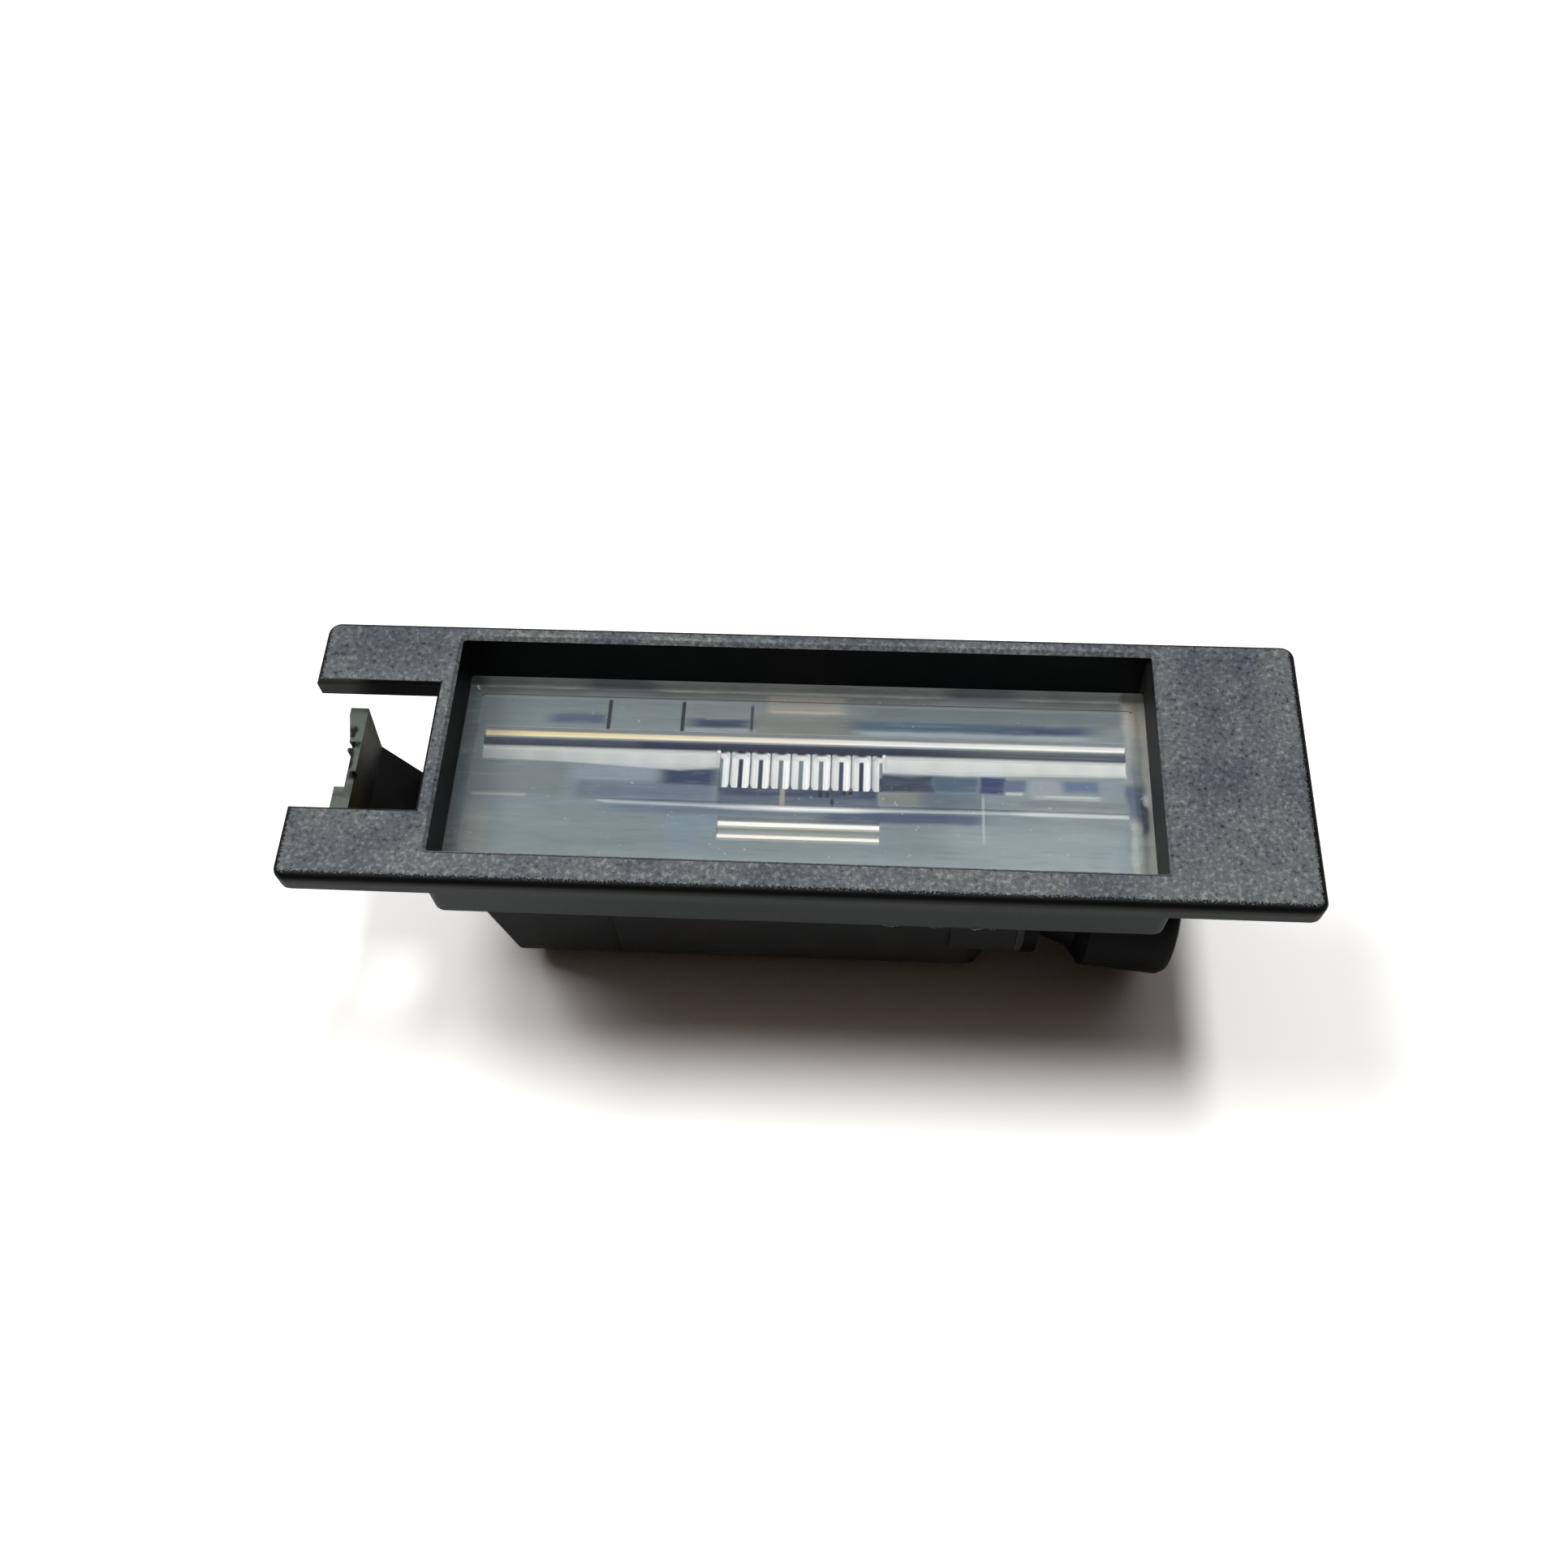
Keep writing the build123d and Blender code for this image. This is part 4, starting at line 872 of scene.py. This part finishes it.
housingLook = {
    "body": (0.04, 0.04, 0.041), "scuff": (0.056, 0.056, 0.056),
    # latchDark and latchScuff are painted shade: the latch darker than the same plastic on the body
    "latchDark": (0.0125, 0.013, 0.0135), "latchScuff": (0.024, 0.024, 0.024),
    "tipGrey": tone(112, 120, 116), "olive": (0.062, 0.0575, 0.025),
    "latchX": (-31.5, -29.5),  # mm, the latch lies left of these
    "oliveLevel": (17.3, 22.5), "oliveTurn": (-0.2, 0.4),  # mm, and the normal's part along X, where the painted olive reflection lies
    "tipLevel": (21.3, 22.2), "tipTurn": (0.7, 0.95),  # mm, and the normal's part along Z, where the tip's upward face is painted paler as lit
    # noises: scale and detail
    "fine": (2600.0, 3.0), "patchy": (240.0, 4.0), "chips": (900.0, 3.0),
    # steps on a noise: from, to, and the values there
    "scuffs": (0.45, 0.75, 0.0, 0.6), "reflectionSpread": (0.35, 0.6, 0.6, 1.0), "chipped": (0.36, 0.5, 0.6, 1.0),
    "rough": (0.3, 0.7, 0.46, 0.62),
    "specular": 0.06, "bump": (0.35, 0.03),
    # dark spots cut from the tip's painted light: plan boxes, softness, and how their edges wander
    "tipDarkSpots": [(-34.7, -34.15, 2.3, 3.2), (-34.25, -33.65, 1.5, 1.92),
               (-34.5, -33.95, -0.4, 1.35), (-34.1, -33.3, -1.3, -0.55)],
    "tipDarkSpotSoft": 0.3, "ragged": (1500.0, 0.7, 0.7),
}
housing = smoothCopy("rear_housing", "rearHousing")
tree, shader, coords, xyz, facing = startLook("satinHousing", housing)
patchy = noise(tree, coords, *housingLook["patchy"])
# painted shade on the latch
onLatch = betweenMm(tree, xyz["X"], *housingLook["latchX"], 1.0, 0.0)
body = mixColour(tree, onLatch, housingLook["body"], housingLook["latchDark"])
scuff = mixColour(tree, onLatch, housingLook["scuff"], housingLook["latchScuff"])
colour = mixColour(tree, between(tree, patchy, *housingLook["scuffs"]), body, scuff)
# painted reflection: a warm olive sheen on the latch's upper inner face, patchy by noise
olive = calc(tree, "MULTIPLY", onLatch, betweenMm(tree, xyz["Z"], *housingLook["oliveLevel"]),
             between(tree, facing["X"], *housingLook["oliveTurn"]),
             between(tree, patchy, *housingLook["reflectionSpread"]))
colour = mixColour(tree, olive, colour, housingLook["olive"])
chips = noise(tree, coords, *housingLook["chips"])
# painted light: the latch tip's upward face is paler grey, broken by chips and dark spots
tip = calc(tree, "MULTIPLY", onLatch, between(tree, facing["Z"], *housingLook["tipTurn"]),
           betweenMm(tree, xyz["Z"], *housingLook["tipLevel"]),
           between(tree, chips, *housingLook["chipped"]))
ragged = wander(tree, coords, *housingLook["ragged"])
for box in housingLook["tipDarkSpots"]:
    hollow = boxMask(tree, ragged, box, housingLook["tipDarkSpotSoft"])
    tip = calc(tree, "MULTIPLY", tip, outside(tree, hollow))
feed(tree, mixColour(tree, tip, colour, housingLook["tipGrey"]), shader.inputs["Base Color"])
feed(tree, between(tree, patchy, *housingLook["rough"]), shader.inputs["Roughness"])
shader.inputs["Specular IOR Level"].default_value = housingLook["specular"]
bump(tree, shader, noise(tree, coords, *housingLook["fine"]), *housingLook["bump"])

holderLook = {
    "noise": (320.0, 4.0), "spread": (0.4, 0.75),
    "colours": ((0.005, 0.005, 0.0055), (0.012, 0.012, 0.0125)),
    "rough": (0.3, 0.7, 0.42, 0.58), "specular": 0.05, "fine": 3000.0, "bump": (0.3, 0.02),
}
holder = smoothCopy("bulb_holder", "bulbHolder")
tree, shader, coords = twoTone("satinHolder", holderLook, holder)[:3]
shader.inputs["Specular IOR Level"].default_value = holderLook["specular"]
bump(tree, shader, noise(tree, coords, holderLook["fine"]), *holderLook["bump"])

sealLook = {
    "noise": (1800.0, 4.0), "colours": ((0.014, 0.014, 0.014), (0.035, 0.034, 0.033)),
    "rough": 0.75, "bump": (0.4, 0.03),
}
seal = smoothCopy("holder_seal", "sealRing")
tree, shader, coords, fine = twoTone("sealRubber", sealLook, seal)
bump(tree, shader, fine, *sealLook["bump"])
print("reflector, housing, holder and seal dressed")

brassLook = {
    "noise": (4000.0, 3.0), "drawn": 0.08, "colours": ((0.5, 0.36, 0.17), (0.78, 0.6, 0.3)),
    "rough": (0.3, 0.7, 0.22, 0.42), "metallic": 1.0, "crisp": 30,
}
strips = (("contact_front", "brassStripFront"), ("contact_rear", "brassStripRear"))
twoTone("rolledBrass", brassLook, *[smoothCopy(*names, brassLook["crisp"]) for names in strips])

wireLook = {
    "noise": (2500.0, 3.0), "colours": ((0.42, 0.4, 0.38), (0.7, 0.68, 0.64)),
    "rough": (0.3, 0.7, 0.25, 0.45), "metallic": 1.0, "crisp": 50,
}
twoTone("drawnWire", wireLook, smoothCopy("bulb_lead_wires", "leadWires", wireLook["crisp"]))

coil = {
    "x": -0.3, "half": 2.1, "z": 8.8, "radius": 0.15, "wire": 0.045,  # mm
    "turns": 18, "legs": 0.12,  # legs as a share of the half length
    "around": 8, "along": 260, "crisp": 60,
    "noise": (5000.0, 3.0), "colours": ((0.16, 0.155, 0.15), (0.34, 0.33, 0.32)),
    "rough": 0.4, "metallic": 1.0,
}


def filamentCoil(c):
    # a circle carried along a helix about Y; the helix closes in to straight legs at both ends
    t = np.linspace(-1, 1, c["along"])
    bend = np.clip((1 - np.abs(t)) / c["legs"], 0, 1)
    turnAngle = t * c["turns"] * np.pi
    line = np.stack([c["x"] + bend * c["radius"] * np.cos(turnAngle), t * c["half"],
                     c["z"] + bend * c["radius"] * np.sin(turnAngle)], -1)
    ahead = np.gradient(line, axis=0)
    ahead /= np.linalg.norm(ahead, axis=1)[:, None]
    first = np.cross(ahead, (0, 1, 0.01))  # a little off Y, which the legs follow
    first /= np.linalg.norm(first, axis=1)[:, None]
    second = np.cross(ahead, first)
    a = np.linspace(0, 2 * np.pi, c["around"], endpoint=False)
    ring = np.cos(a)[None, :, None] * first[:, None] + np.sin(a)[None, :, None] * second[:, None]
    points = (line[:, None] + c["wire"] * ring).reshape(-1, 3)
    faces = gridFaces(c["along"], c["around"], closeV=True)[:, ::-1].tolist()
    faces.append(list(range(c["around"])))
    faces.append(list(range(len(points) - 1, len(points) - 1 - c["around"], -1)))
    return putMesh("filamentCoil", points, faces, True, c["crisp"])


filament = filamentCoil(coil)
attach(filament, "holder")
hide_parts("bulb_filament")
twoTone("tungsten", coil, filament)

bulbLook = {
    "noise": (400.0, 4.0), "colours": ((0.93, 0.95, 0.95), (0.98, 0.985, 0.985)),
    "rough": (0.5, 0.8, 0.0, 0.06), "clear": 1.0, "index": 1.5, "crisp": 40,
}
bulb = smoothCopy("bulb_glass", "bulbEnvelope", bulbLook["crisp"])
tree, shader = twoTone("bulbGlass", bulbLook, bulb)[:2]
shader.inputs["Transmission Weight"].default_value = bulbLook["clear"]
shader.inputs["IOR"].default_value = bulbLook["index"]
letLampsThrough(tree, shader)
print("bulb, wires and contacts dressed")

flash = {
    "y": -9.5, "z": 17.62, "around": 7, "along": 24,
    "swell": (0.75, 0.18, 0.1), "waves": (23, 51),  # shares of the thickness, and the sines' pace
    "drift": (0.05, 9),  # mm that a bead rises and falls, and its sine's pace
    "sunk": 0.35, "tall": 1.3,  # in radii, out from the wall and up it
    # from x, to x, thickness
    "beads": [(6.5, 7.8, 0.09), (9.8, 11.1, 0.08), (13.0, 14.0, 0.13), (14.5, 14.95, 0.11)],
    "noise": (3000.0, 3.0), "spread": (0.35, 0.65), "colours": ((0.1, 0.1, 0.1), (0.42, 0.42, 0.41)),
    "rough": 0.6,
}


def weldFlash(c):
    # each bead is a ring carried along X whose radius follows the root of a half sine, roughened
    # by two more sines, closed by a point at both ends
    points, faces = [], []
    start = 0
    a = np.linspace(0, 2 * np.pi, c["around"], endpoint=False)
    t = np.linspace(0, 1, c["along"])[1:-1]
    plain, swellA, swellB = c["swell"]
    waveA, waveB = c["waves"]
    drift, pace = c["drift"]
    for k, (x0, x1, thick) in enumerate(c["beads"]):
        rough = plain + swellA * np.sin(waveA * t + 2 * k) + swellB * np.sin(waveB * t + k)
        radius = (thick * np.sqrt(np.sin(np.pi * t)) * rough)[:, None]
        y = c["y"] - c["sunk"] * radius + radius * np.cos(a)
        z = c["z"] + drift * np.sin(pace * t + k)[:, None] + c["tall"] * radius * np.sin(a)
        x = np.broadcast_to((x0 + (x1 - x0) * t)[:, None], y.shape)
        body = np.stack([x, y, z], -1).reshape(-1, 3)
        tips = np.array([[x0, c["y"], c["z"]], [x1, c["y"], c["z"]]])
        points += [body, tips]
        faces += (gridFaces(len(t), c["around"], closeV=True) + start).tolist()
        n, m = len(body), c["around"]
        ring = np.arange(m)
        nextOne = (ring + 1) % m
        faces += (np.stack([np.full(m, n), ring, nextOne], -1) + start).tolist()
        faces += (np.stack([np.full(m, n + 1), n - m + nextOne, n - m + ring], -1) + start).tolist()
        start += n + 2
    return putMesh("weldFlash", np.concatenate(points), faces, True)


beads = weldFlash(flash)
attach(beads, "lamp")
twoTone("whitenedFlash", flash, beads)
print("weld flash built")
